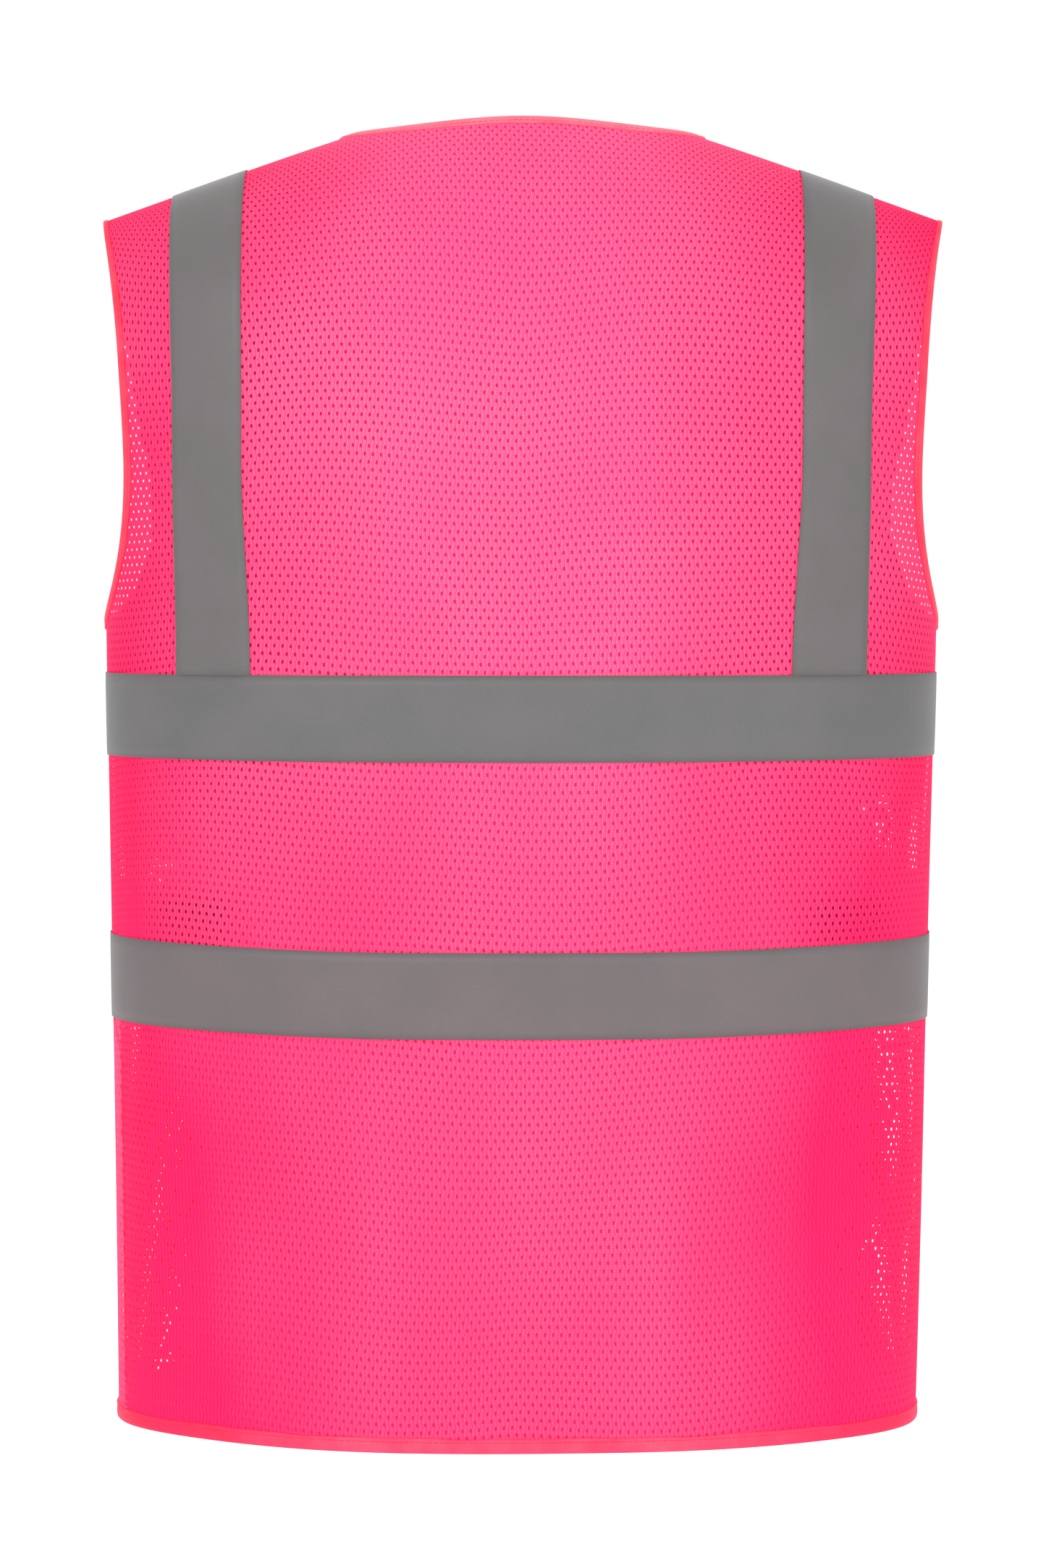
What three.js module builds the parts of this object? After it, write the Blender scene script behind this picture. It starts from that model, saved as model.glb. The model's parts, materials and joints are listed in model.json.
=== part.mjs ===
// A sleeveless high visibility vest of open mesh with grey reflective tape, standing as it
// hangs on a body. Millimetres, +Z up, -Y is the wearer's front, +X the wearer's left.
// The origin is between the shoulders, level with the top of the shoulder seams.
//
// The cloth is drawn like a sewing pattern: s is the width along the cloth from the centre
// line, v is the height along the cloth. place() bends that pattern around the body.

import * as THREE from 'three';

// ---------------------------------------------------------------- overall size
const LENGTH = 768; // shoulder point down to the hem edge
const CHEST_HALF_WIDTH = 249; // centre to side seam at the underarm
const HEM_HALF_WIDTH = 240; // centre to side seam at the hem
const SHOULDER_HALF_WIDTH = 258; // half width of the body shape at the shoulders
const BACK_DEPTH = 126; // centre back behind the side seams
const FRONT_DEPTH = 118; // centre front before the side seams
const SQUARENESS = 2.5; // 2 is an ellipse, more is squarer

// ---------------------------------------------------------------- shoulders, neck, armholes
const SHOULDER_SLOPE = 0.37;
const SHOULDER_DROP = 105; // height over which the cloth rounds the shoulders
const NECK_HALF_WIDTH = 101;
const NECK_ROUNDING = 60; // how softly the shoulder line levels out at the neck
const BACK_NECK_DEPTH = 67; // centre back neck behind the shoulder seams
const NECK_V_END = -250; // height where the V neck becomes the upright front edge
const SHOULDER_TIP_X = 250;
const UNDERARM = -291;
const BODY_TOP = UNDERARM + 151; // height where the body shape has its full shoulder width
const ARMHOLE_MID = UNDERARM + 101; // height where the armhole edge is upright
const BACK_ARMHOLE_CUT = 72; // how far the armhole cuts in from the side seam line
const FRONT_ARMHOLE_CUT = 92;

// ---------------------------------------------------------------- fronts and closure
const BINDING_WIDTH = 8;
const OVERLAP = 40; // width over which the fronts lap
const FOLD_NECK_V = -56; // height where the line on which a front folds open leaves the neck edge
const FOLD_LEG = { width: 9, drop: 16 }; // its short top leg, sloping down from the neck edge
const FOLD_CLEARANCE = 4.5; // room under the neck binding's end for the opening front
const FOLD_SPREAD = 34; // how much further out the line lies at the hem
const PATCH_WIDTH = OVERLAP - 2 * BINDING_WIDTH; // hook and loop patches fit between the bindings
const PATCH_MARGIN = 9; // from a patch to the band or hem binding above or below it
const PATCH_SPACING = 22; // between the two patches under the lower band

// ---------------------------------------------------------------- tape and trim
const TAPE_WIDTH = 50;
const UPPER_BAND_TOP = UNDERARM - 31.5;
const BAND_SPACING = 109.5; // between the bands
const LOWER_BAND_TOP = UPPER_BAND_TOP - TAPE_WIDTH - BAND_SPACING;
const BRACE_INNER_X = 161; // brace edge nearer the neck, at the band
const BRACE_SHOULDER_SHIFT = 3; // how much further out a brace lies on the shoulder
const NECK_LABEL = { width: 30, height: 22 };
const CARE_LABEL = { width: 26, height: 60, rise: 128, inset: 6 }; // rise is above the hem

// ---------------------------------------------------------------- thicknesses and clearances
const CLOTH = 1;
const TAPE = 0.8;
const PATCH = 1;
const BINDING = 1.6;
const LABEL = 0.5;
const GAP = 0.4; // between pieces that lie on or beside each other
const TAPE_GAP = 0.6; // between cloth and tape
const BRACE_GAP = 0.8; // between cloth and a brace, which crosses its facets
const LABEL_GAP = 1.6; // between cloth and a label that hangs inside it
const SEAM_GAP = 0.3; // from a seam line to each piece
const SWING_GAP = 1; // between the ends of bindings that swing apart

// How far the outer front rides over the inner one: cloth, tape or patch, patch, gaps.
const OUTER_LIFT = CLOTH + GAP + PATCH + GAP + PATCH + GAP;
const LIFT_FROM = 70; // widths between which the outer front rises
const LIFT_TO = 26;

const COLOURS = { mesh: 0xff2f7c, binding: 0xff4f74, tape: 0x8c8a8b, patch: 0xf23a72, label: 0xf2f0ec };
const FINISH = {
  mesh: { roughness: 0.85, metalness: 0 },
  binding: { roughness: 0.7, metalness: 0 },
  tape: { roughness: 0.55, metalness: 0.1 },
  patch: { roughness: 0.95, metalness: 0 },
  label: { roughness: 0.8, metalness: 0 },
};

// ---------------------------------------------------------------- the body shape
const BACK = { sign: 1, depth: BACK_DEPTH, armholeCut: BACK_ARMHOLE_CUT };
const FRONT = { sign: -1, depth: FRONT_DEPTH, armholeCut: FRONT_ARMHOLE_CUT };
const { lerp, clamp, smoothstep } = THREE.MathUtils;

function halfWidth(v) {
  if (v > UNDERARM) {
    return lerp(CHEST_HALF_WIDTH, SHOULDER_HALF_WIDTH, smoothstep(v, UNDERARM, BODY_TOP));
  }
  return lerp(HEM_HALF_WIDTH, CHEST_HALF_WIDTH, (v + LENGTH) / (UNDERARM + LENGTH));
}

// Depth of one half section at the angle phi, 0 on the centre line and 90 degrees at the side.
function sectionDepth(phi, depth) {
  return depth * Math.max(0, 1 - Math.sin(phi) ** SQUARENESS) ** (1 / SQUARENESS);
}

const SECTION_STEPS = 360;
const sectionTables = new Map();

// Cloth length from the centre line to each angle of a half section.
function sectionTable(width, depth) {
  const key = `${width.toFixed(4)}/${depth}`;
  if (!sectionTables.has(key)) {
    const lengths = [0];
    let last = [0, depth];
    for (let k = 1; k <= SECTION_STEPS; k += 1) {
      const phi = (k / SECTION_STEPS) * Math.PI / 2;
      const next = [width * Math.sin(phi), sectionDepth(phi, depth)];
      lengths.push(lengths[k - 1] + Math.hypot(next[0] - last[0], next[1] - last[1]));
      last = next;
    }
    sectionTables.set(key, lengths);
  }
  return sectionTables.get(key);
}

function sideLength(v, face) {
  return sectionTable(halfWidth(v), face.depth)[SECTION_STEPS];
}

function angleAt(s, v, face) {
  const lengths = sectionTable(halfWidth(v), face.depth);
  const wanted = clamp(Math.abs(s), 0, lengths[SECTION_STEPS]);
  let k = 1;
  while (k < SECTION_STEPS && lengths[k] < wanted) k += 1;
  const part = (wanted - lengths[k - 1]) / (lengths[k] - lengths[k - 1]);
  return ((k - 1 + part) / SECTION_STEPS) * Math.PI / 2;
}

function clothWidthAtX(x, v, face) {
  const phi = Math.asin(clamp(x / halfWidth(v), -1, 1));
  const lengths = sectionTable(halfWidth(v), face.depth);
  const k = Math.min((Math.abs(phi) / (Math.PI / 2)) * SECTION_STEPS, SECTION_STEPS - 1e-9);
  const below = Math.floor(k);
  return Math.sign(x) * lerp(lengths[below], lengths[below + 1], k - below);
}

function shoulderLine(x) {
  const spread = Math.hypot(x, NECK_ROUNDING) - Math.hypot(NECK_HALF_WIDTH, NECK_ROUNDING);
  return -SHOULDER_SLOPE * spread;
}

// Length of a quarter of an ellipse, by Ramanujan's formula.
function quarterEllipse(a, b) {
  const h = ((a - b) / (a + b)) ** 2;
  return (Math.PI / 4) * (a + b) * (1 + (3 * h) / (10 + Math.sqrt(4 - 3 * h)));
}

// The rounded top of the cloth at one place across: where it starts and how long it is.
function shoulderCap(x, depthHere) {
  const foot = shoulderLine(x) - SHOULDER_DROP;
  const length = quarterEllipse(depthHere, SHOULDER_DROP);
  return { foot, length, top: foot + length };
}

function place(s, v, face) {
  const phi = angleAt(s, v, face);
  const x = Math.sign(s) * halfWidth(v) * Math.sin(phi);
  const depthHere = sectionDepth(phi, face.depth);
  const cap = shoulderCap(x, depthHere);
  if (v <= cap.foot) return new THREE.Vector3(x, face.sign * depthHere, v);
  const turn = Math.min((v - cap.foot) / cap.length, 1) * Math.PI / 2;
  const z = cap.foot + SHOULDER_DROP * Math.sin(turn);
  return new THREE.Vector3(x, face.sign * depthHere * Math.cos(turn), z);
}

// Height along the cloth of the shoulder seam at s.
function shoulderSeam(s, face) {
  const phi = angleAt(s, 0, face);
  const x = halfWidth(0) * Math.sin(phi);
  return shoulderCap(x, sectionDepth(phi, face.depth)).top;
}

function clothNormal(s, v, face) {
  const step = 0.5;
  const side = sideLength(v, face);
  const across = place(Math.min(s + step, side), v, face).sub(place(s - step, v, face));
  const up = place(s, v + step, face);
  const down = place(s, v - step, face);
  // Past the shoulder seam the cloth is the mirror image of itself.
  if (v + step > shoulderSeam(Math.abs(s), face)) up.copy(down).setY(-down.y);
  const normal = across.cross(up.sub(down));
  return normal.multiplyScalar(-face.sign).normalize();
}

// ---------------------------------------------------------------- pattern outlines
const point = (s, v) => new THREE.Vector2(s, v);

function armholeEdge(face) {
  const side = sideLength(UNDERARM, face);
  const mid = point(sideLength(ARMHOLE_MID, face) - face.armholeCut, ARMHOLE_MID);
  const tipS = clothWidthAtX(SHOULDER_TIP_X, 0, face);
  const tip = point(tipS, shoulderSeam(tipS, face));
  const scoop = new THREE.CubicBezierCurve(
    point(side, UNDERARM), point(lerp(side, mid.x, 0.65), UNDERARM),
    point(mid.x, lerp(ARMHOLE_MID, UNDERARM, 0.6)), mid);
  const rise = new THREE.CubicBezierCurve(
    mid, point(mid.x, lerp(ARMHOLE_MID, tip.y, 0.6)),
    point(tip.x - 3, lerp(ARMHOLE_MID, tip.y, 0.72)), tip);
  return [...scoop.getPoints(6), ...rise.getPoints(11).slice(1)];
}

// From the shoulder seam down the V neck to where the front edge turns upright.
function neckEdge() {
  const topS = clothWidthAtX(NECK_HALF_WIDTH, 0, FRONT);
  const edge = -OVERLAP / 2;
  const curve = new THREE.CubicBezierCurve(
    point(topS, shoulderSeam(topS, FRONT)), point(topS - 7, -60),
    point(edge + 30, NECK_V_END + 60), point(edge, NECK_V_END));
  return curve.getPoints(18);
}

function backNeckEdge() {
  const points = [];
  for (let k = 0; k <= 6; k += 1) {
    const angle = (k / 6) * Math.PI / 2;
    const x = NECK_HALF_WIDTH * Math.sin(angle);
    const phi = Math.asin(x / halfWidth(0));
    const depthHere = sectionDepth(phi, BACK_DEPTH);
    const cap = shoulderCap(x, depthHere);
    const turn = Math.acos((BACK_NECK_DEPTH * Math.cos(angle)) / depthHere);
    points.push(point(clothWidthAtX(x, 0, BACK), cap.foot + (cap.length * turn) / (Math.PI / 2)));
  }
  return points;
}

// The same outline moved sideways by a distance, to the left of its direction.
function offset(points, distance) {
  return points.map((p, k) => {
    const before = points[Math.max(k - 1, 0)];
    const after = points[Math.min(k + 1, points.length - 1)];
    const along = after.clone().sub(before).normalize();
    return point(p.x - along.y * distance, p.y + along.x * distance);
  });
}

// Value of one coordinate of an outline where the other has a given value.
function readOutline(points, from, to, value) {
  const ordered = points[0][from] < points.at(-1)[from] ? points : [...points].reverse();
  let k = 1;
  while (k < ordered.length - 1 && ordered[k][from] < value) k += 1;
  const part = (value - ordered[k - 1][from]) / (ordered[k][from] - ordered[k - 1][from]);
  return lerp(ordered[k - 1][to], ordered[k][to], part);
}

const TRIM = BINDING_WIDTH + GAP; // cloth edge behind the outer edge of its binding
const HEM = -LENGTH;
const CLOTH_HEM = HEM + TRIM;
const NECK = neckEdge();
const CLOTH_NECK = offset(NECK, TRIM);
const BACK_NECK = backNeckEdge();
const CLOTH_BACK_NECK = offset(BACK_NECK, -TRIM);

// Front edge of the cloth: upright, then along the V neck.
function clothFrontEdge(v) {
  if (v <= NECK_V_END) return -OVERLAP / 2 + TRIM;
  return readOutline(CLOTH_NECK, 'y', 'x', v);
}

const FOLD_TOP = { s: clothFrontEdge(FOLD_NECK_V) + FOLD_LEG.width, v: FOLD_NECK_V - FOLD_LEG.drop };

function foldS(v) {
  return lerp(FOLD_TOP.s + FOLD_SPREAD, FOLD_TOP.s, (v - HEM) / (FOLD_TOP.v - HEM));
}

// Inner boundary of the part of a front that stays on the shoulder.
function shoulderSideEdge(v) {
  if (v <= FOLD_TOP.v) return foldS(v) + GAP;
  if (v >= FOLD_NECK_V) return clothFrontEdge(v);
  const part = (v - FOLD_TOP.v) / (FOLD_NECK_V - FOLD_TOP.v);
  return lerp(FOLD_TOP.s + GAP, clothFrontEdge(FOLD_NECK_V), part);
}

// ---------------------------------------------------------------- solids
const knot = (s, v, face, lift = 0) => ({ s, v, face, lift });

// A closed solid between two offsets of a grid of pattern places.
function sheetSolid(grid, low, high, mirrored) {
  const rows = grid.length;
  const columns = grid[0].length;
  const half = rows * columns;
  const positions = [];
  for (const level of [high, low]) {
    for (const row of grid) {
      for (const k of row) {
        const normal = clothNormal(k.s, k.v, k.face);
        const p = place(k.s, k.v, k.face).addScaledVector(normal, level + k.lift);
        positions.push(mirrored ? -p.x : p.x, p.y, p.z);
      }
    }
  }
  const index = [];
  const quad = (a, b, c, d) => index.push(a, b, c, a, c, d);
  for (let j = 0; j < rows - 1; j += 1) {
    for (let i = 0; i < columns - 1; i += 1) {
      const a = j * columns + i;
      quad(a, a + 1, a + 1 + columns, a + columns);
      quad(half + a, half + a + columns, half + a + 1 + columns, half + a + 1);
    }
  }
  const wall = (a, b) => quad(b, a, half + a, half + b);
  for (let i = 0; i < columns - 1; i += 1) {
    wall(i, i + 1);
    wall((rows - 1) * columns + i + 1, (rows - 1) * columns + i);
  }
  for (let j = 0; j < rows - 1; j += 1) {
    wall((j + 1) * columns, j * columns);
    wall(j * columns + columns - 1, (j + 1) * columns + columns - 1);
  }
  if (signedVolume(positions, index) < 0) index.reverse();
  const geometry = new THREE.BufferGeometry();
  geometry.setAttribute('position', new THREE.Float32BufferAttribute(positions, 3));
  geometry.setIndex(index);
  geometry.computeVertexNormals();
  return geometry;
}

function signedVolume(positions, index) {
  const corner = (i) => new THREE.Vector3().fromArray(positions, index[i] * 3);
  let sum = 0;
  for (let i = 0; i < index.length; i += 3) {
    sum += corner(i).dot(corner(i + 1).cross(corner(i + 2)));
  }
  return sum / 6;
}

const vest = new THREE.Group();

function add(name, look, geometry) {
  const material = new THREE.MeshStandardMaterial({ color: COLOURS[look], ...FINISH[look] });
  const mesh = new THREE.Mesh(geometry, material);
  mesh.name = name;
  vest.add(mesh);
}

const evenly = (from, to, count) => Array.from({ length: count + 1 }, (_, k) => lerp(from, to, k / count));

// Rows of equal height below the underarm, with one on each edge of the bands.
const BAND_EDGES = [LOWER_BAND_TOP - TAPE_WIDTH, LOWER_BAND_TOP, UPPER_BAND_TOP - TAPE_WIDTH, UPPER_BAND_TOP];
const LOWER_ROWS = [
  CLOTH_HEM, lerp(CLOTH_HEM, BAND_EDGES[0], 0.34), lerp(CLOTH_HEM, BAND_EDGES[0], 0.67),
  BAND_EDGES[0], BAND_EDGES[1], (BAND_EDGES[1] + BAND_EDGES[2]) / 2, BAND_EDGES[2], BAND_EDGES[3],
];

// Outer boundary of the cloth above the underarm, from the side seam to the shoulder.
function clothArmhole(face) {
  const edge = offset(armholeEdge(face), TRIM);
  const side = sideLength(UNDERARM - TRIM, face);
  const last = edge.length - 1;
  edge[0] = point(side - SEAM_GAP, UNDERARM - TRIM);
  edge[last].y = shoulderSeam(edge[last].x, face) - SEAM_GAP;
  return edge;
}

// ---------------------------------------------------------------- back panel
const COLUMNS = 15; // cloth facets from the centre line to the side seam

function backTop() {
  const tip = clothArmhole(BACK).at(-1);
  const neck = CLOTH_BACK_NECK.filter((p) => p.y < shoulderSeam(p.x, BACK) - SEAM_GAP);
  const cornerS = CLOTH_BACK_NECK.at(-1).x;
  const ridge = evenly(cornerS, tip.x, COLUMNS - neck.length)
    .map((s) => point(s, shoulderSeam(s, BACK) - SEAM_GAP));
  return [...neck, ...ridge];
}

function backColumns() {
  const top = backTop();
  return top.map((p) => p.x / top.at(-1).x);
}

function backGrid() {
  const top = backTop();
  const columns = backColumns();
  const base = UNDERARM - TRIM;
  const armhole = clothArmhole(BACK);
  const grid = LOWER_ROWS.map((v) => columns.map((c) => knot(c * (sideLength(v, BACK) - SEAM_GAP), v, BACK)));
  for (const edge of armhole) {
    const part = (edge.y - base) / (armhole.at(-1).y - base);
    grid.push(columns.map((c, i) => knot(c * edge.x, lerp(base, top[i].y, part), BACK)));
  }
  return grid.map((row) => [...row.slice(1).reverse().map((k) => knot(-k.s, k.v, BACK)), ...row]);
}

add('back_panel', 'mesh', sheetSolid(backGrid(), 0, CLOTH, false));

// ---------------------------------------------------------------- front panels and flaps
const FRONT_COLUMNS = 9;
const FLAP_COLUMNS = 6;

function frontGrid() {
  const base = UNDERARM - TRIM;
  const armhole = clothArmhole(FRONT);
  const tip = armhole.at(-1);
  const innerTop = CLOTH_NECK[0];
  const innerTopV = shoulderSeam(innerTop.x, FRONT) - SEAM_GAP;
  const parts = evenly(0, 1, FRONT_COLUMNS);
  const grid = LOWER_ROWS.map((v) => parts.map((c) =>
    knot(lerp(foldS(v) + GAP, sideLength(v, FRONT) - SEAM_GAP, c), v, FRONT)));
  const heights = armhole.map((edge) => (edge.y - base) / (tip.y - base));
  const corners = [FOLD_TOP.v, FOLD_NECK_V].map((v) => (v - base) / (innerTopV - base));
  const extra = corners.filter((h) => heights.every((other) => Math.abs(other - h) > 0.004));
  for (const part of [...heights, ...extra].sort((a, b) => a - b)) {
    const outerV = lerp(base, tip.y, part);
    const outerS = part === 0 ? armhole[0].x : readOutline(armhole, 'y', 'x', outerV);
    grid.push(parts.map((c) => {
      const topS = lerp(innerTop.x, tip.x, c);
      const topV = shoulderSeam(topS, FRONT) - SEAM_GAP;
      const innerS = shoulderSideEdge(lerp(base, innerTopV, part));
      return knot(lerp(innerS, outerS, c), lerp(base, topV, part), FRONT);
    }));
  }
  return grid;
}

// The outer front rises over the inner one towards the centre line.
const liftAt = (s, lift) => lift * (1 - smoothstep(s, LIFT_TO, LIFT_FROM));

function flapGrid(lift) {
  const parts = evenly(0, 1, FLAP_COLUMNS);
  const flapTop = FOLD_NECK_V - FOLD_CLEARANCE;
  const rows = [...LOWER_ROWS, ...evenly(UPPER_BAND_TOP, flapTop, 10).slice(1)];
  return rows.map((v) => parts.map((c) => {
    // The top leg of the cut slopes down from the neck edge to the fold line.
    const slope = Math.max(0, (v - UPPER_BAND_TOP) / (flapTop - UPPER_BAND_TOP));
    const lowered = v - c * slope * (flapTop - FOLD_TOP.v + GAP);
    const s = lerp(clothFrontEdge(lowered), foldS(Math.min(lowered, FOLD_TOP.v)) - GAP, c);
    return knot(s, lowered, FRONT, liftAt(s, lift));
  }));
}

// A strip of an edge's binding, from the outer edge to the binding's inner edge.
function bindingSolid(edge, face, towards, lift, mirrored) {
  const inner = offset(edge, towards * BINDING_WIDTH);
  const low = (CLOTH - BINDING) / 2;
  const grid = edge.map((p, k) => [p, inner[k]].map((q) => knot(q.x, q.y, face, liftAt(q.x, lift))));
  return sheetSolid(grid, low, low + BINDING, mirrored);
}

function bandGrid(top, from, to, columns, face, lift) {
  return [top - TAPE_WIDTH, top].map((v) => evenly(0, 1, columns).map((c) => {
    const s = lerp(from(v), to(v), c);
    return knot(s, v, face, liftAt(s, lift));
  }));
}

function tapeSolid(grid, mirrored) {
  return sheetSolid(grid, CLOTH + TAPE_GAP, CLOTH + TAPE_GAP + TAPE, mirrored);
}

// Heights of the patches: over the upper band, between the bands, and two under the lower band.
const PATCH_LOWEST = CLOTH_HEM + PATCH_MARGIN;
const PATCH_UNDER_BAND = LOWER_BAND_TOP - TAPE_WIDTH - PATCH_MARGIN;
const PATCH_MIDDLE = (PATCH_LOWEST + PATCH_UNDER_BAND) / 2;
const PATCH_SPANS = [
  [UPPER_BAND_TOP + PATCH_MARGIN, NECK_V_END],
  [LOWER_BAND_TOP + PATCH_MARGIN, UPPER_BAND_TOP - TAPE_WIDTH - PATCH_MARGIN],
  [PATCH_MIDDLE + PATCH_SPACING / 2, PATCH_UNDER_BAND],
  [PATCH_LOWEST, PATCH_MIDDLE - PATCH_SPACING / 2],
];

function patchGrid([bottom, top], lift) {
  return evenly(bottom, top, 2).map((v) => evenly(-PATCH_WIDTH / 2, PATCH_WIDTH / 2, 2)
    .map((s) => knot(s, v, FRONT, liftAt(s, lift))));
}

function armholeBindingGrid() {
  const strip = (face) => {
    const edge = armholeEdge(face);
    const inner = offset(edge, BINDING_WIDTH);
    const side = sideLength(UNDERARM - BINDING_WIDTH, face);
    edge[0] = point(sideLength(UNDERARM, face) - SEAM_GAP, UNDERARM);
    inner[0] = point(side - SEAM_GAP, UNDERARM - BINDING_WIDTH);
    inner.at(-1).y = shoulderSeam(inner.at(-1).x, face);
    return edge.map((p, k) => [knot(p.x, p.y, face), knot(inner[k].x, inner[k].y, face)]);
  };
  return [...strip(BACK), ...strip(FRONT).reverse().slice(1)];
}

// A brace runs from the back band over the shoulder to the front band.
function braceGrid() {
  const bottom = UPPER_BAND_TOP + GAP;
  const outerX = BRACE_INNER_X + TAPE_WIDTH * Math.cos(THREE.MathUtils.degToRad(28));
  const shoulderX = BRACE_INNER_X + BRACE_SHOULDER_SHIFT + TAPE_WIDTH / Math.hypot(1, SHOULDER_SLOPE);
  const strip = (face) => evenly(0, 1, 17).map((t) => evenly(0, 1, 3).map((c) => {
    const onShoulder = smoothstep(t, 0.45, 1);
    const inner = BRACE_INNER_X + BRACE_SHOULDER_SHIFT * onShoulder;
    const x = lerp(inner, lerp(outerX, shoulderX, onShoulder), c);
    const seam = shoulderSeam(clothWidthAtX(x, 0, face), face);
    const v = lerp(bottom, seam, t);
    return knot(clothWidthAtX(x, v, face), v, face);
  }));
  return [...strip(BACK), ...strip(FRONT).reverse().slice(1)];
}

// ---------------------------------------------------------------- pieces of each side
const shoulderNeck = NECK.filter((p) => p.y >= FOLD_NECK_V);
const flapNeck = NECK.filter((p) => p.y < FOLD_NECK_V);
const neckCut = point(readOutline(NECK, 'y', 'x', FOLD_NECK_V), FOLD_NECK_V);
const BANDS = [['upper', UPPER_BAND_TOP], ['lower', LOWER_BAND_TOP]];

for (const side of ['left', 'right']) {
  const mirrored = side === 'right';
  const lift = mirrored ? 0 : OUTER_LIFT;
  const closure = mirrored ? 'loop' : 'hook';
  add(`${side}_front_panel`, 'mesh', sheetSolid(frontGrid(), 0, CLOTH, mirrored));
  add(`${side}_front_flap`, 'mesh', sheetSolid(flapGrid(lift), 0, CLOTH, mirrored));
  add(`${side}_armhole_binding`, 'binding', sheetSolid(
    armholeBindingGrid(), (CLOTH - BINDING) / 2, (CLOTH + BINDING) / 2, mirrored));
  add(`${side}_brace`, 'tape', sheetSolid(
    braceGrid(), CLOTH + BRACE_GAP, CLOTH + BRACE_GAP + TAPE, mirrored));

  // Neck binding on the shoulder, then down the flap's neck and front edge.
  add(`${side}_neck_binding`, 'binding', bindingSolid(
    [...shoulderNeck.slice(0, -1), neckCut], FRONT, 1, 0, mirrored));
  const frontEdge = evenly(NECK_V_END, HEM, 8).slice(1).map((v) => point(-OVERLAP / 2, v));
  const cutV = FOLD_NECK_V - SWING_GAP;
  const cutBelow = point(readOutline(NECK, 'y', 'x', cutV), cutV);
  add(`${side}_front_edge_binding`, 'binding', bindingSolid(
    [cutBelow, ...flapNeck.slice(1), ...frontEdge], FRONT, 1, lift, mirrored));

  // Hem bindings: the flap's runs from the front edge binding to the fold line.
  const hemFlap = evenly(-OVERLAP / 2 + TRIM, foldS(HEM) - GAP, FLAP_COLUMNS).map((s) => point(s, HEM));
  add(`${side}_flap_hem_binding`, 'binding', bindingSolid(hemFlap, FRONT, 1, lift, mirrored));
  const hemFront = evenly(foldS(HEM) + GAP, sideLength(HEM, FRONT) - SEAM_GAP, FRONT_COLUMNS)
    .map((s) => point(s, HEM));
  add(`${side}_front_hem_binding`, 'binding', bindingSolid(hemFront, FRONT, 1, 0, mirrored));

  for (const [level, top] of BANDS) {
    const sideSeam = (v) => sideLength(v, FRONT) - SEAM_GAP;
    add(`${side}_${level}_front_band`, 'tape', tapeSolid(
      bandGrid(top, (v) => foldS(v) + GAP, sideSeam, FRONT_COLUMNS, FRONT, 0), mirrored));
    add(`${side}_${level}_flap_band`, 'tape', tapeSolid(
      bandGrid(top, () => -OVERLAP / 2 + TRIM, (v) => foldS(v) - GAP, FLAP_COLUMNS, FRONT, lift), mirrored));
  }

  // The outer front has hooks on its inner face, the inner front loops on its outer face.
  PATCH_SPANS.forEach((span, k) => {
    const low = mirrored ? CLOTH + GAP : -GAP - PATCH;
    add(`${closure}_patch_${k + 1}`, 'patch', sheetSolid(patchGrid(span, lift), low, low + PATCH, mirrored));
  });
}

// ---------------------------------------------------------------- back trim
function mirrorRow(row) {
  return [...row.slice(1).reverse().map((k) => knot(-k.s, k.v, k.face, k.lift)), ...row];
}

const neckStrip = [BACK_NECK, offset(BACK_NECK, -BINDING_WIDTH)];
neckStrip[1].at(-1).y = shoulderSeam(neckStrip[1].at(-1).x, BACK) - SEAM_GAP;
neckStrip[0].at(-1).y = shoulderSeam(neckStrip[0].at(-1).x, BACK) - SEAM_GAP;
add('back_neck_binding', 'binding', sheetSolid(
  neckStrip.map((row) => mirrorRow(row.map((p) => knot(p.x, p.y, BACK)))),
  (CLOTH - BINDING) / 2, (CLOTH + BINDING) / 2, false));

add('back_hem_binding', 'binding', sheetSolid(
  [HEM, HEM + BINDING_WIDTH].map((v) => mirrorRow(
    backColumns().map((c) => knot(c * (sideLength(v, BACK) - SEAM_GAP), v, BACK)))),
  (CLOTH - BINDING) / 2, (CLOTH + BINDING) / 2, false));

for (const [level, top] of BANDS) {
  add(`${level}_back_band`, 'tape', tapeSolid(
    [top - TAPE_WIDTH, top].map((v) => mirrorRow(
      backColumns().map((c) => knot(c * (sideLength(v, BACK) - SEAM_GAP), v, BACK)))), false));
}

// ---------------------------------------------------------------- labels
const labelTop = CLOTH_BACK_NECK[0].y - GAP;
add('neck_label', 'label', sheetSolid(
  evenly(labelTop - NECK_LABEL.height, labelTop, 3).map((v) =>
    evenly(-NECK_LABEL.width / 2, NECK_LABEL.width / 2, 4).map((s) => knot(s, v, BACK))),
  -LABEL_GAP - LABEL, -LABEL_GAP, false));

add('care_label', 'label', sheetSolid(
  evenly(HEM + CARE_LABEL.rise, HEM + CARE_LABEL.rise + CARE_LABEL.height, 2).map((v) => evenly(0, 1, 3).map((c) => {
    const s = sideLength(v, BACK) - CARE_LABEL.inset - CARE_LABEL.width * (1 - c);
    return knot(s, v, BACK);
  })), -LABEL_GAP - LABEL, -LABEL_GAP, false));

export default vest;
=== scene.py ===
"""Looks of a high visibility vest: perforated pink mesh cloth, grey reflective tape, sewn bindings.

The cloth is drawn as a sewing pattern. s is the width along the cloth from the centre line and
v the height along the cloth, both in millimetres. place() bends the pattern around the body.
"""

import json
import math

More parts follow.
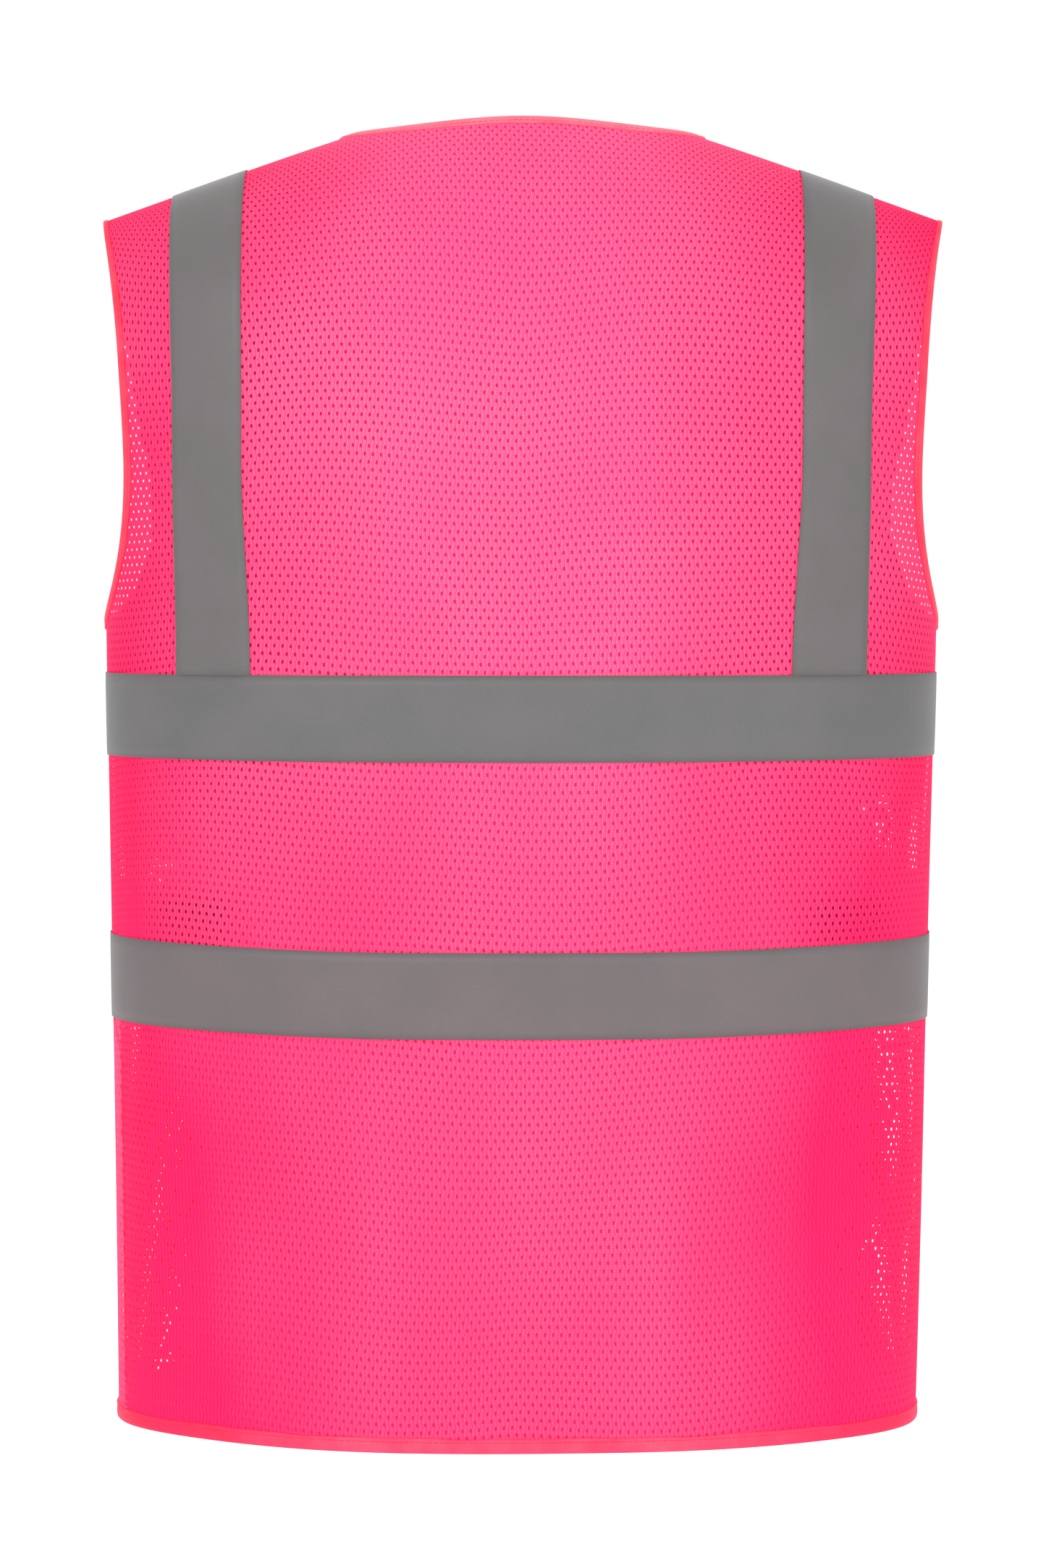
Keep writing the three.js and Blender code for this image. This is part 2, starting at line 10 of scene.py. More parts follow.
import bpy
import numpy as np
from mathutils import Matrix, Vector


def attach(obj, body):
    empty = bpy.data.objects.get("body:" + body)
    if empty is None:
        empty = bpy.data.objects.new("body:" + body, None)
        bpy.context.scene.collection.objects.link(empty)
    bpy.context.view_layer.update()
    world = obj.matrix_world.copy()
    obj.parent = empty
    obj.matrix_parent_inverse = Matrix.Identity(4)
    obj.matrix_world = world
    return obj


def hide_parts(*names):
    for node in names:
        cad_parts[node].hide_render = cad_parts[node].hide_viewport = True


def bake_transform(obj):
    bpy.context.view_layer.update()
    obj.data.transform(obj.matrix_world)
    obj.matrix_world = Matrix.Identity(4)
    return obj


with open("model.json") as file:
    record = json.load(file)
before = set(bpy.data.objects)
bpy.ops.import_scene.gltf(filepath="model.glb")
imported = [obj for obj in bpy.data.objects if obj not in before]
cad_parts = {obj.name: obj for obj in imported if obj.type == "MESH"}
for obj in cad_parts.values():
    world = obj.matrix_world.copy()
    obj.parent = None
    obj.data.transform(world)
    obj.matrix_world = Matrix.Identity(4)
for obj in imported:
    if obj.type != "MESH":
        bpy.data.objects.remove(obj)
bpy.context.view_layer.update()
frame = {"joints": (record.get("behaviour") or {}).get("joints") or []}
MM = 0.001

# ----- sizes, as in the CAD model
LENGTH = 768.0
CHEST_HALF_WIDTH = 249.0
HEM_HALF_WIDTH = 240.0
SHOULDER_HALF_WIDTH = 258.0
BACK_DEPTH = 126.0
FRONT_DEPTH = 118.0
SQUARENESS = 2.5
SHOULDER_SLOPE = 0.37
SHOULDER_DROP = 105.0
NECK_HALF_WIDTH = 101.0
NECK_ROUNDING = 60.0
BACK_NECK_DEPTH = 67.0
NECK_V_END = -250.0
SHOULDER_TIP_X = 250.0
UNDERARM = -291.0
BODY_TOP = UNDERARM + 151
ARMHOLE_MID = UNDERARM + 101
ARMHOLE_CUT = {"back": 72.0, "front": 92.0}
BINDING_WIDTH = 8.0
OVERLAP = 40.0
HEM = -LENGTH
TAPE_WIDTH = 50.0
UPPER_BAND_TOP = UNDERARM - 31.5
LOWER_BAND_TOP = UPPER_BAND_TOP - TAPE_WIDTH - 109.5
BRACE_INNER_X = 161.0
BRACE_SHOULDER_SHIFT = 3.0
BRACE_TURN = math.radians(28)
PATCH_MARGIN = 9.0
PATCH_SPACING = 22.0
OUTER_LIFT = 4.2  # the wearer's left front lies this far out over the right one
LIFT_FROM = 70.0  # it starts to rise this far from the centre line
LIFT_TO = 26.0  # and is fully out from here to its edge

DEPTH = {"back": BACK_DEPTH, "front": FRONT_DEPTH}
SIGN = {"back": 1.0, "front": -1.0}

# Cloth detail
HOLE_PITCH = 4.85
ROW_PITCH = 4.5
HOLE_HALF = (0.86, 1.32)
RIM_DIVISOR = (1.15, 2.0)  # turns the cell's corner steps into a hole's rim, across and up
RIM_WOBBLE = 0.05
CLOTH_INSET = 3.0  # the cloth's edge lies this far inside the bound edge
GRID_BASE = HEM + CLOTH_INSET
GRID_COLUMNS = (-68, 69)
GRID_ROWS = (-2, 202)
SEAM_MARGIN = 3.4  # cells are kept this far past a side or shoulder seam, then drawn back to it
CLOTH_LEVEL = 0.5  # the cloth's height over the body shape
HOLE_LEVEL = 0.05  # the height that a hole's rim sinks to
OPEN_HOLE_SHARE = {"armhole": 0.62, "side": 0.8, "front": 0.92}  # size of an open hole against a closed one
CLOSED_AT_TAPE = 4.0  # cells with no hole start this far under a tape's edge
CLOSED_AT_SIDE = 2.2
CLOSED_AT_SHOULDER = 2.6
SEAM_SWING = 46.0  # how far the wearer's left side seam has swung round to the back below the bands
SWING_SPAN = (500.0, 560.0)  # how far down the seam's stitches swing over
TAPE_LEVELS = (0.85, 1.5)
CLOTH_SLOT, SHADE_FLOOR_SLOT, TURNED_SLOT = 0, 1, 2  # material slots of a perforated piece
PATH_SPACING = 1.7  # between the rings of a binding
PATTERN_SPAN = 1000.0  # millimetres of pattern that the cloth's map spreads over 0 to 1
PATTERN_ORIGIN = (0.5, 0.85)  # where the pattern's s = 0, v = 0 lies in the map


# ----- the body shape
def smooth(value, low, high):
    part = np.clip((value - low) / (high - low), 0, 1)
    return part * part * (3 - 2 * part)


def half_width(v):
    v = np.asarray(v, float)
    upper = CHEST_HALF_WIDTH + (SHOULDER_HALF_WIDTH - CHEST_HALF_WIDTH) * smooth(v, UNDERARM, BODY_TOP)
    taper = (v + LENGTH) / (UNDERARM + LENGTH)
    lower = HEM_HALF_WIDTH + (CHEST_HALF_WIDTH - HEM_HALF_WIDTH) * taper
    return np.where(v > UNDERARM, upper, lower)


def section_depth(phi, depth):
    inside = np.maximum(0, 1 - np.abs(np.sin(phi)) ** SQUARENESS)
    return depth * inside ** (1 / SQUARENESS)


ANGLES = np.linspace(0, np.pi / 2, 721)
WIDTHS = np.linspace(HEM_HALF_WIDTH - 2, SHOULDER_HALF_WIDTH + 2, 45)
SHARES = np.linspace(0, 1, 1441)


def section_lengths(width, depth):
    x, y = width * np.sin(ANGLES), section_depth(ANGLES, depth)
    return np.concatenate([[0], np.cumsum(np.hypot(np.diff(x), np.diff(y)))])


TABLES = {}
for face_name, face_depth in DEPTH.items():
    lengths = [section_lengths(w, face_depth) for w in WIDTHS]
    TABLES[face_name] = (
        np.array([row[-1] for row in lengths]),
        np.array([np.interp(SHARES, row / row[-1], ANGLES) for row in lengths]),
    )


def side_length(v, face):
    return np.interp(half_width(v), WIDTHS, TABLES[face][0])


def angle_at(s, v, face):
    """Angle round the section that a width along the cloth reaches."""
    width = half_width(v)
    share = np.clip(np.abs(s) / np.interp(width, WIDTHS, TABLES[face][0]), 0, 1)
    row = (width - WIDTHS[0]) / (WIDTHS[1] - WIDTHS[0])
    column = share * (len(SHARES) - 1)
    r = np.clip(np.floor(row).astype(int), 0, len(WIDTHS) - 2)
    c = np.clip(np.floor(column).astype(int), 0, len(SHARES) - 2)
    fr, fc = row - r, column - c
    table = TABLES[face][1]
    low = table[r, c] * (1 - fc) + table[r, c + 1] * fc
    high = table[r + 1, c] * (1 - fc) + table[r + 1, c + 1] * fc
    return low * (1 - fr) + high * fr


def width_at_x(x, v, face):
    """Width along the cloth at which the cloth stands x from the centre plane."""
    width = float(half_width(v))
    phi = math.asin(min(abs(x) / width, 1))
    return math.copysign(np.interp(phi, ANGLES, section_lengths(width, DEPTH[face])), x)


def shoulder_line(x):
    spread = np.hypot(x, NECK_ROUNDING) - math.hypot(NECK_HALF_WIDTH, NECK_ROUNDING)
    return -SHOULDER_SLOPE * spread


def quarter_ellipse(a, b):
    h = ((a - b) / (a + b)) ** 2
    return np.pi / 4 * (a + b) * (1 + 3 * h / (10 + np.sqrt(4 - 3 * h)))


def place(s, v, face):
    s, v = np.broadcast_arrays(np.asarray(s, float), np.asarray(v, float))
    phi = angle_at(s, v, face)
    x = np.sign(s) * half_width(v) * np.sin(phi)
    depth = section_depth(phi, DEPTH[face])
    foot = shoulder_line(x) - SHOULDER_DROP
    turn = np.clip((v - foot) / quarter_ellipse(depth, SHOULDER_DROP), 0, 1) * np.pi / 2
    low = v <= foot
    z = np.where(low, v, foot + SHOULDER_DROP * np.sin(turn))
    y = SIGN[face] * depth * np.where(low, 1, np.cos(turn))
    return np.stack([x, y, z], -1)


def shoulder_seam(s, face):
    phi = angle_at(s, 0.0, face)
    depth = section_depth(phi, DEPTH[face])
    x = half_width(0.0) * np.sin(phi)
    return shoulder_line(x) - SHOULDER_DROP + quarter_ellipse(depth, SHOULDER_DROP)


def normal(s, v, face):
    step = 0.6
    limit = side_length(v, face)
    right, left = (place(np.clip(s + d, -limit, limit), v, face) for d in (step, -step))
    up, down = place(s, v + step, face), place(s, v - step, face)
    past = v + step > shoulder_seam(s, face)
    up[past] = down[past] * np.array([1, -1, 1])
    n = -SIGN[face] * np.cross(right - left, up - down)
    return n / np.linalg.norm(n, axis=-1, keepdims=True)


# Height of each set of waves, in millimetres.
BROAD_WAVE, FINE_WAVE, ARMHOLE_WAVE, CHEST_WAVE = 1.5, 0.9, 1.3, 1.6
WAVE_UNDER_TAPE = 0.55  # share of the waves that the stiff tapes leave


def ripple(s, v, face):
    """Soft waves of hanging cloth, in millimetres outwards, the same for both fronts."""
    fall = smooth(-v, 60, LENGTH)
    side = smooth(np.abs(s), 120, 260)
    taped = (v < UPPER_BAND_TOP + 15) & (v > LOWER_BAND_TOP - TAPE_WIDTH - 15)
    above = smooth(v, -330, -120)
    chest = smooth(-v, 40, 150) * smooth(v, -330, -180) * (1 - 0.5 * side)
    wave = BROAD_WAVE * fall * np.sin(s / 46 + 0.6 * np.sin(v / 170))
    wave += FINE_WAVE * fall * np.sin(s / 19.5 + 1.3 + 0.8 * np.sin(v / 120)) * (0.35 + 0.65 * side)
    wave += ARMHOLE_WAVE * np.sin(s / 33 - v / 95 + 0.5) * above * side
    wave += CHEST_WAVE * np.sin(s / 27 + v / 210 + 2.0) * chest
    seam = smooth(shoulder_seam(s, face) - v, 0, 60)
    edge = smooth(side_length(v, face) - np.abs(s), 0, 30)
    return wave * seam * edge * np.where(taped, WAVE_UNDER_TAPE, 1.0)


# How far the drape moves the cloth, in millimetres.
HEM_LEAN, SIDE_NARROWING, BAND_LIFT, SIDE_LIFT = 3.4, 1.4, 3.4, 4.6


def drape(s, v):
    """How far the worn vest hangs from its even shape: it leans a little and lifts at its sides."""
    down = -v / LENGTH
    lean = HEM_LEAN * np.maximum(down, 0) ** 1.3
    narrow = -np.sign(s) * SIDE_NARROWING * smooth(np.abs(s), 200, 300) * smooth(down, 0.2, 0.35)
    bands = BAND_LIFT * smooth(down, 0.08, 0.42) * (1 - smooth(down, 0.73, 1.0))
    lift = SIDE_LIFT * smooth(np.abs(s), 60, 290) * smooth(down, 0.4, 0.66)
    return np.stack([lean + narrow, np.zeros_like(down), bands + lift], -1)


def cloth(s, v, face, level):
    """Points of the hanging cloth in metres, at a height over the body shape."""
    s, v, level = np.broadcast_arrays(*(np.asarray(a, float) for a in (s, v, level)))
    lifted = level + ripple(s, v, face)
    return (place(s, v, face) + drape(s, v) + normal(s, v, face) * lifted[..., None]) * MM


# ----- pattern outlines
def bezier(p0, p1, p2, p3, count):
    t = np.linspace(0, 1, count + 1)[:, None]
    p0, p1, p2, p3 = (np.array(p, float) for p in (p0, p1, p2, p3))
    return (1 - t) ** 3 * p0 + 3 * t * (1 - t) ** 2 * p1 + 3 * t * t * (1 - t) * p2 + t ** 3 * p3


def mix(a, b, t):
    return a + (b - a) * t


def left_of(points):
    """Unit directions to the left of a line that runs through the points."""
    along = np.gradient(points, axis=0)
    along /= np.linalg.norm(along, axis=1, keepdims=True)
    return np.stack([-along[:, 1], along[:, 0]], 1)


def offset(points, distance):
    """The outline moved sideways, to the left of its direction."""
    return points + distance * left_of(points)


def running_length(points):
    return np.concatenate([[0], np.cumsum(np.linalg.norm(np.diff(points, axis=0), axis=1))])


def point_at(points, run, at):
    return np.stack([np.interp(at, run, points[:, k]) for k in (0, 1)], 1)


def resample(points, spacing=PATH_SPACING):
    run = running_length(points)
    return point_at(points, run, np.linspace(0, run[-1], max(2, int(round(run[-1] / spacing)) + 1)))


def armhole_edge(face):
    side = float(side_length(UNDERARM, face))
    mid = (float(side_length(ARMHOLE_MID, face)) - ARMHOLE_CUT[face], ARMHOLE_MID)
    tip_s = width_at_x(SHOULDER_TIP_X, 0, face)
    tip = (tip_s, float(shoulder_seam(tip_s, face)))
    scoop = bezier((side, UNDERARM), (mix(side, mid[0], 0.65), UNDERARM),
                   (mid[0], mix(ARMHOLE_MID, UNDERARM, 0.6)), mid, 40)
    rise = bezier(mid, (mid[0], mix(ARMHOLE_MID, tip[1], 0.6)),
                  (tip[0] - 3, mix(ARMHOLE_MID, tip[1], 0.72)), tip, 50)
    return np.concatenate([scoop, rise[1:]])


def neck_edge():
    top_s = width_at_x(NECK_HALF_WIDTH, 0, "front")
    edge = -OVERLAP / 2
    return bezier((top_s, float(shoulder_seam(top_s, "front"))), (top_s - 7, -60),
                  (edge + 30, NECK_V_END + 60), (edge, NECK_V_END), 80)


def back_neck_edge():
    angle = np.linspace(0, np.pi / 2, 40)
    x = NECK_HALF_WIDTH * np.sin(angle)
    s = np.array([width_at_x(value, 0, "back") for value in x])
    depth = section_depth(np.arcsin(x / half_width(0.0)), BACK_DEPTH)
    turn = np.arccos(np.clip(BACK_NECK_DEPTH * np.cos(angle) / depth, 0, 1))
    foot = shoulder_line(x) - SHOULDER_DROP
    return np.stack([s, foot + quarter_ellipse(depth, SHOULDER_DROP) * turn / (np.pi / 2)], 1)


def side_seam(low, high, face, count=40):
    v = np.linspace(low, high, count)
    return np.stack([side_length(v, face), v], 1)


def shoulder_points(from_s, to_s, face):
    s = np.linspace(from_s, to_s, 30)
    return np.stack([s, shoulder_seam(s, face)], 1)


def half_outline(face, inset):
    """Outline of one half of the back, or of one front, moved in from its bound edges."""
    armhole = offset(armhole_edge(face), inset)
    start = 0.0 if face == "back" else -OVERLAP / 2 + inset
    bottom = HEM + inset
    if face == "back":
        neck = offset(back_neck_edge(), -inset)[::-1]
    else:
        neck = np.concatenate([offset(neck_edge(), inset), [[start, NECK_V_END]]])
    return np.concatenate([
        [[start, bottom]], side_seam(bottom, UNDERARM - inset, face), armhole[1:],
        shoulder_points(armhole[-1, 0], neck[0, 0], face), neck[1:],
    ])


def inside(points, outline):
    """Which points lie inside a closed outline."""
    result = np.zeros(len(points), bool)
    ends = np.roll(outline, -1, axis=0)
    for (x0, y0), (x1, y1) in zip(outline, ends):
        if y0 == y1:
            continue
        crossing = (points[:, 1] >= min(y0, y1)) & (points[:, 1] < max(y0, y1))
        at = x0 + (points[:, 1] - y0) * (x1 - x0) / (y1 - y0)
        result ^= crossing & (points[:, 0] < at)
    return result


# ----- mesh helpers
def new_mesh(name, points, faces, material, uv=None, smooth_shade=True):
    mesh = bpy.data.meshes.new(name)
    mesh.from_pydata(np.asarray(points).reshape(-1, 3).tolist(), [], faces)
    mesh.materials.append(material)
    if uv is not None:
        layer = mesh.uv_layers.new(name="OFBake")
        corner = np.empty(len(mesh.loops), int)
        mesh.loops.foreach_get("vertex_index", corner)
        layer.data.foreach_set("uv", np.asarray(uv)[corner].astype(np.float32).ravel())
    mesh.update()
    if smooth_shade:
        mesh.shade_smooth()
    piece = bpy.data.objects.new(name, mesh)
    bpy.context.scene.collection.objects.link(piece)
    return piece


def tube_faces(count, around, base=0):
    """Faces of a closed tube of rings. base is the number of its first point."""
    last = base + (count - 1) * around
    faces = []
    for ring in range(base, last, around):
        for i in range(around):
            a, b = ring + i, ring + (i + 1) % around
            faces.append((a, b, b + around, a + around))
    faces.append(tuple(range(base, base + around))[::-1])
    faces.append(tuple(range(last, last + around)))
    return faces


def sweep(name, rings, material):
    """A closed body from rings of points, each ring one cross-section of it."""
    count, around = rings.shape[:2]
    run = np.arange(count) / max(count - 1, 1)
    uv = np.stack(np.meshgrid(np.linspace(0, 1, around), run), -1).reshape(-1, 2)
    piece = new_mesh(name, rings, tube_faces(count, around), material, uv)
    outward(piece)
    return piece


def outward(piece):
    """Turns a closed body's faces to point out."""
    mesh = piece.data
    co = np.empty(len(mesh.vertices) * 3)
    mesh.vertices.foreach_get("co", co)
    co = co.reshape(-1, 3)
    mesh.calc_loop_triangles()
    triangles = np.empty(len(mesh.loop_triangles) * 3, int)
    mesh.loop_triangles.foreach_get("vertices", triangles)
    a, b, c = (co[triangles.reshape(-1, 3)[:, k]] for k in range(3))
    if (a * np.cross(b, c)).sum() < 0:
        mesh.flip_normals()


# ----- materials
class Nodes:
    """Small helper that adds and links shader nodes."""

    def __init__(self, name):
        self.material = bpy.data.materials.new(name)
        self.material.use_nodes = True
        self.tree = self.material.node_tree
        self.shader = self.tree.nodes["Principled BSDF"]

    def add(self, kind, inputs=None, **settings):
        node = self.tree.nodes.new(kind)
        for key, value in settings.items():
            setattr(node, key, value)
        for key, value in (inputs or {}).items():
            self.put(node, key, value)
        return node

    def put(self, node, key, value):
        if isinstance(value, bpy.types.NodeSocket):
            self.tree.links.new(value, node.inputs[key])
        else:
            node.inputs[key].default_value = value

    def set(self, **values):
        """Sets the shader's inputs, with _ for the spaces in their names."""
        for key, value in values.items():
            self.put(self.shader, key.replace("_", " "), value)

    def math(self, operation, a, b=0.0, clamp=False):
        node = self.add("ShaderNodeMath", {0: a, 1: b}, operation=operation, use_clamp=clamp)
        return node.outputs[0]

    def plus(self, a, b, clamp=False):
        return self.math("ADD", a, b, clamp)

    def minus(self, a, b, clamp=False):
        return self.math("SUBTRACT", a, b, clamp)

    def times(self, a, b, clamp=False):
        return self.math("MULTIPLY", a, b, clamp)

    def between(self, value, low, high):
        """0 at low, 1 at high, and held there beyond them."""
        return self.times(self.minus(value, low), 1 / (high - low), clamp=True)

    def metres(self):
        return self.add("ShaderNodeTexCoord").outputs["Object"]

    def scaled(self, vector, scale):
        return self.add("ShaderNodeMapping", {0: vector, 3: scale}).outputs[0]

    def parts(self, vector):
        return self.add("ShaderNodeSeparateXYZ", {0: vector}).outputs

    def pattern(self):
        return self.parts(self.add("ShaderNodeUVMap", uv_map="OFBake").outputs[0])

    def colours(self, factor, *stops):
        node = self.add("ShaderNodeValToRGB", {0: factor})
        ramp = node.color_ramp
        while len(ramp.elements) < len(stops):
            ramp.elements.new(0.5)
        for element, (position, colour) in zip(ramp.elements, stops):
            element.position = position
            element.color = (*colour, 1)
        return node.outputs[0]

    def blend(self, kind, factor, a, b):
        node = self.add("ShaderNodeMix", {0: factor, 6: a, 7: b}, data_type="RGBA", blend_type=kind)
        return node.outputs[2]

    def noise(self, vector, scale, detail=2.0, roughness=0.5):
        inputs = {"Vector": vector, "Scale": scale, "Detail": detail, "Roughness": roughness}
        return self.add("ShaderNodeTexNoise", inputs).outputs["Fac"]

    def cells(self, vector, scale):
        return self.add("ShaderNodeTexVoronoi", {"Vector": vector, "Scale": scale}).outputs["Distance"]

    def bump(self, height, strength, distance, below=None):
        inputs = {"Height": height, "Strength": strength, "Distance": distance}
        if below is not None:
            inputs["Normal"] = below
        return self.add("ShaderNodeBump", inputs).outputs[0]


# Colour ramps: places on the ramp and their colours.
WHITE = (1.0, 1.0, 1.0)
# The first ramp is the cloth's pink; the second is a painted shaded copy of it, blended in by the painted
# shade at the sides, shoulders and hem.
BRIGHT_PINK = ((0.05, (0.94, 0.032, 0.18)), (0.42, (1.0, 0.100, 0.230)), (0.8, (1.0, 0.20, 0.37)))
SHADED_PINK = ((0.05, (0.80, 0.002, 0.05)), (0.42, (0.98, 0.005, 0.095)), (0.8, (1.0, 0.05, 0.18)))
# Floors of the closed holes: painted shade in deep pink, darker where more shade falls.
HOLE_SHADE_PINK = ((0.1, (0.93, 0.014, 0.165)), (0.5, (0.64, 0.003, 0.09)),
             (0.9, (0.38, 0.001, 0.055)), (1.0, (0.18, 0.001, 0.03)))
TAPE_GREY = ((0.3, (0.096, 0.101, 0.100)), (0.5, (0.122, 0.119, 0.120)), (0.72, (0.156, 0.139, 0.143)))
TAPE_PAINTED_BOUNCE = ((0.40, (1.02, 0.97, 0.97)), (0.44, WHITE), (0.58, WHITE), (0.63, (1.12, 0.96, 0.99)))
LABEL_WHITE = ((0.2, (0.66, 0.62, 0.60)), (0.8, (0.86, 0.84, 0.82)))


def pattern_place(n, pattern):
    """How far off the pattern's centre line, and the height, in millimetres."""
    across = n.times(n.minus(pattern[0], PATTERN_ORIGIN[0]), PATTERN_SPAN)
    return n.math("ABSOLUTE", across), n.times(n.minus(pattern[1], PATTERN_ORIGIN[1]), PATTERN_SPAN)


def painted_shade_falloff(n, pattern, cloud):
    """How much painted shade the cloth shows: deeper at the sides, on the shoulders and towards the hem,
    where less light falls, with stretched noise as painted shade of soft folds.
    """
    s, v = pattern_place(n, pattern)
    side = n.times(n.between(s, 80, 245), n.plus(n.times(n.between(v, -150, -600), 0.45), 0.55))
    shoulder = n.times(n.times(n.between(s, 50, 170), n.between(v, -130, 50)), 0.55)
    hem = n.times(n.between(v, -250, -620), 0.32)
    side = n.plus(side, n.plus(shoulder, hem))
    return n.plus(side, n.times(n.minus(cloud, 0.42), 0.8), clamp=True)


def mesh_cloth_material(name, depth):
    """Warp-knit mesh. depth is the share of the painted shade at the sides, shoulders and hem that the
    material shows.
    """
    n = Nodes(name)
    pattern = n.pattern()
    s = n.times(pattern[0], PATTERN_SPAN)
    v = n.times(pattern[1], PATTERN_SPAN)
    # Upright ribs of the knit, four to a hole, that sway round each hole.
    sway = n.times(n.math("SINE", n.times(v, math.tau / (2 * ROW_PITCH))), 0.32)
    swayed = n.plus(s, sway)
    rib = n.math("SINE", n.times(swayed, math.tau * 4 / HOLE_PITCH))
    course = n.math("SINE", n.times(v, math.tau * 4 / ROW_PITCH))
    wale = n.math("COSINE", n.times(swayed, math.tau * 2 / HOLE_PITCH))
    knit = n.plus(n.times(rib, 0.55), n.times(n.times(rib, course), 0.45))
    knit = n.minus(knit, n.times(wale, 0.45))
    # Pinholes in rows between the large holes.
    small = n.times(n.math("COSINE", n.times(s, math.tau * 2 / HOLE_PITCH)),
                    n.math("COSINE", n.times(v, math.tau * 1.5 / ROW_PITCH)))
    pin = n.times(n.minus(small, 0.72), 3.5, clamp=True)
    metres = n.metres()
    fibre = n.noise(metres, scale=2600.0, detail=3.0, roughness=0.6)
    height = n.plus(n.minus(knit, n.times(pin, 1.6)), n.times(fibre, 0.7))
    patch = n.noise(metres, scale=7.0)
    cloud = n.noise(n.scaled(metres, (1.0, 1.0, 0.35)), scale=9.0, detail=1.5)
    # The ribs are painted lighter and the pinholes painted darker: painted shade of the knit's relief, over
    # random patches of tone.
    shade = n.plus(n.times(patch, 0.35), n.times(n.plus(knit, 1.0), 0.25))
    shade = n.minus(shade, n.times(pin, 0.35), clamp=True)
    # Painted shade: the cloth turns to its shaded copy at the sides, on the shoulders and towards the hem.
    painted_shade_amount = n.times(painted_shade_falloff(n, pattern, cloud), depth)
    # The emission is a painted glow that stands in for the fluorescent dye's brightness under the lamps.
    n.set(Base_Color=n.blend("MIX", painted_shade_amount, n.colours(shade, *BRIGHT_PINK), n.colours(shade, *SHADED_PINK)),
          Roughness=n.plus(n.times(fibre, 0.2), 0.62),
          Normal=n.bump(height, strength=0.8, distance=0.00022),
          Emission_Color=(1.0, 0.02, 0.10, 1), Emission_Strength=0.22,
          Sheen_Weight=0.1, Sheen_Roughness=0.45, Sheen_Tint=(1.0, 0.15, 0.35, 1),
          Specular_IOR_Level=0.15)
    return n.material


def binding_material(name, low, middle, high, painted_side_shade=WHITE):
    """Woven tape in three tones. The last argument is a painted shade laid over it towards the vest's sides.
    """
    n = Nodes(name)
    metres = n.metres()
    aside = n.math("ABSOLUTE", n.parts(metres)[0])
    # Painted shade that deepens the colour towards the vest's sides.
    side_shading = n.colours(aside, (0.10, WHITE), (0.21, painted_side_shade))
    weave = n.cells(n.scaled(metres, (1.0, 1.0, 0.6)), scale=2400.0)
    mottle = n.noise(metres, scale=60.0, detail=4.0)
    shade = n.plus(n.times(mottle, 0.8), n.times(weave, 0.25), clamp=True)
    base = n.colours(shade, (0.2, low), (0.5, middle), (0.85, high))
    # The emission is a painted glow that stands in for the fluorescent dye's brightness under the lamps.
    n.set(Base_Color=n.blend("MULTIPLY", 1.0, base, side_shading),
          Roughness=n.plus(n.times(mottle, 0.25), 0.45),
          Normal=n.bump(weave, strength=0.5, distance=0.00012),
          Emission_Color=(1.0, 0.03, 0.08, 1), Emission_Strength=0.2,
          Sheen_Weight=0.15, Sheen_Roughness=0.4, Sheen_Tint=(1.0, 0.3, 0.4, 1),
          Specular_IOR_Level=0.25)
    return n.material


def tape_material():
    """Grey glass-bead tape, with a painted pink bounce light that makes it a little warmer low down."""
    n = Nodes("reflective_tape")
    metres = n.metres()
    beads = n.noise(metres, scale=2300.0, roughness=0.75)
    grain = n.noise(metres, scale=900.0, detail=3.0, roughness=0.6)
    mottle = n.noise(metres, scale=22.0, detail=3.0, roughness=0.55)
    shade = n.plus(n.times(beads, 0.50), n.times(grain, 0.20))
    shade = n.plus(shade, n.times(mottle, 0.30))
    # Painted pink bounce light from the cloth, stronger on the lower band.
    cast = n.colours(n.times(n.parts(metres)[2], -1.3), *TAPE_PAINTED_BOUNCE)
    n.set(Base_Color=n.blend("MULTIPLY", 1.0, n.colours(shade, *TAPE_GREY), cast),
          Roughness=n.plus(n.times(beads, 0.2), 0.42),
          Normal=n.bump(beads, 0.25, 0.00006, below=n.bump(grain, 0.2, 0.00015)),
          Specular_IOR_Level=0.45, Sheen_Weight=0.08, Metallic=0.15)
    return n.material


def patch_material(name, colour, pile_scale, pile_depth):
    """Hook or loop pile."""
    n = Nodes(name)
    metres = n.metres()
    pile = n.cells(metres, pile_scale)
    soft = n.noise(metres, scale=140.0, detail=3.0)
    shade = n.plus(n.times(pile, 0.7), n.times(soft, 0.5), clamp=True)
    dark = tuple(c * 0.5 for c in colour)
    n.set(Base_Color=n.colours(shade, (0.15, dark), (0.8, colour)),
          Roughness=n.plus(n.times(soft, 0.2), 0.7),
          Normal=n.bump(pile, 0.9, pile_depth), Sheen_Weight=0.3)
    return n.material


def label_material():
    """White woven label."""
    n = Nodes("label")
    metres = n.metres()
    wave = {"Vector": metres, "Scale": 900.0, "Distortion": 0.6}
    thread = n.add("ShaderNodeTexWave", wave, bands_direction="Z").outputs["Fac"]
    soil = n.noise(metres, scale=90.0, detail=3.0)
    shade = n.plus(n.times(thread, 0.3), n.times(soil, 0.7))
    n.set(Base_Color=n.colours(shade, *LABEL_WHITE),
          Roughness=n.plus(n.times(soil, 0.2), 0.4),
          Normal=n.bump(thread, strength=0.3, distance=0.00008), Sheen_Weight=0.15)
    return n.material


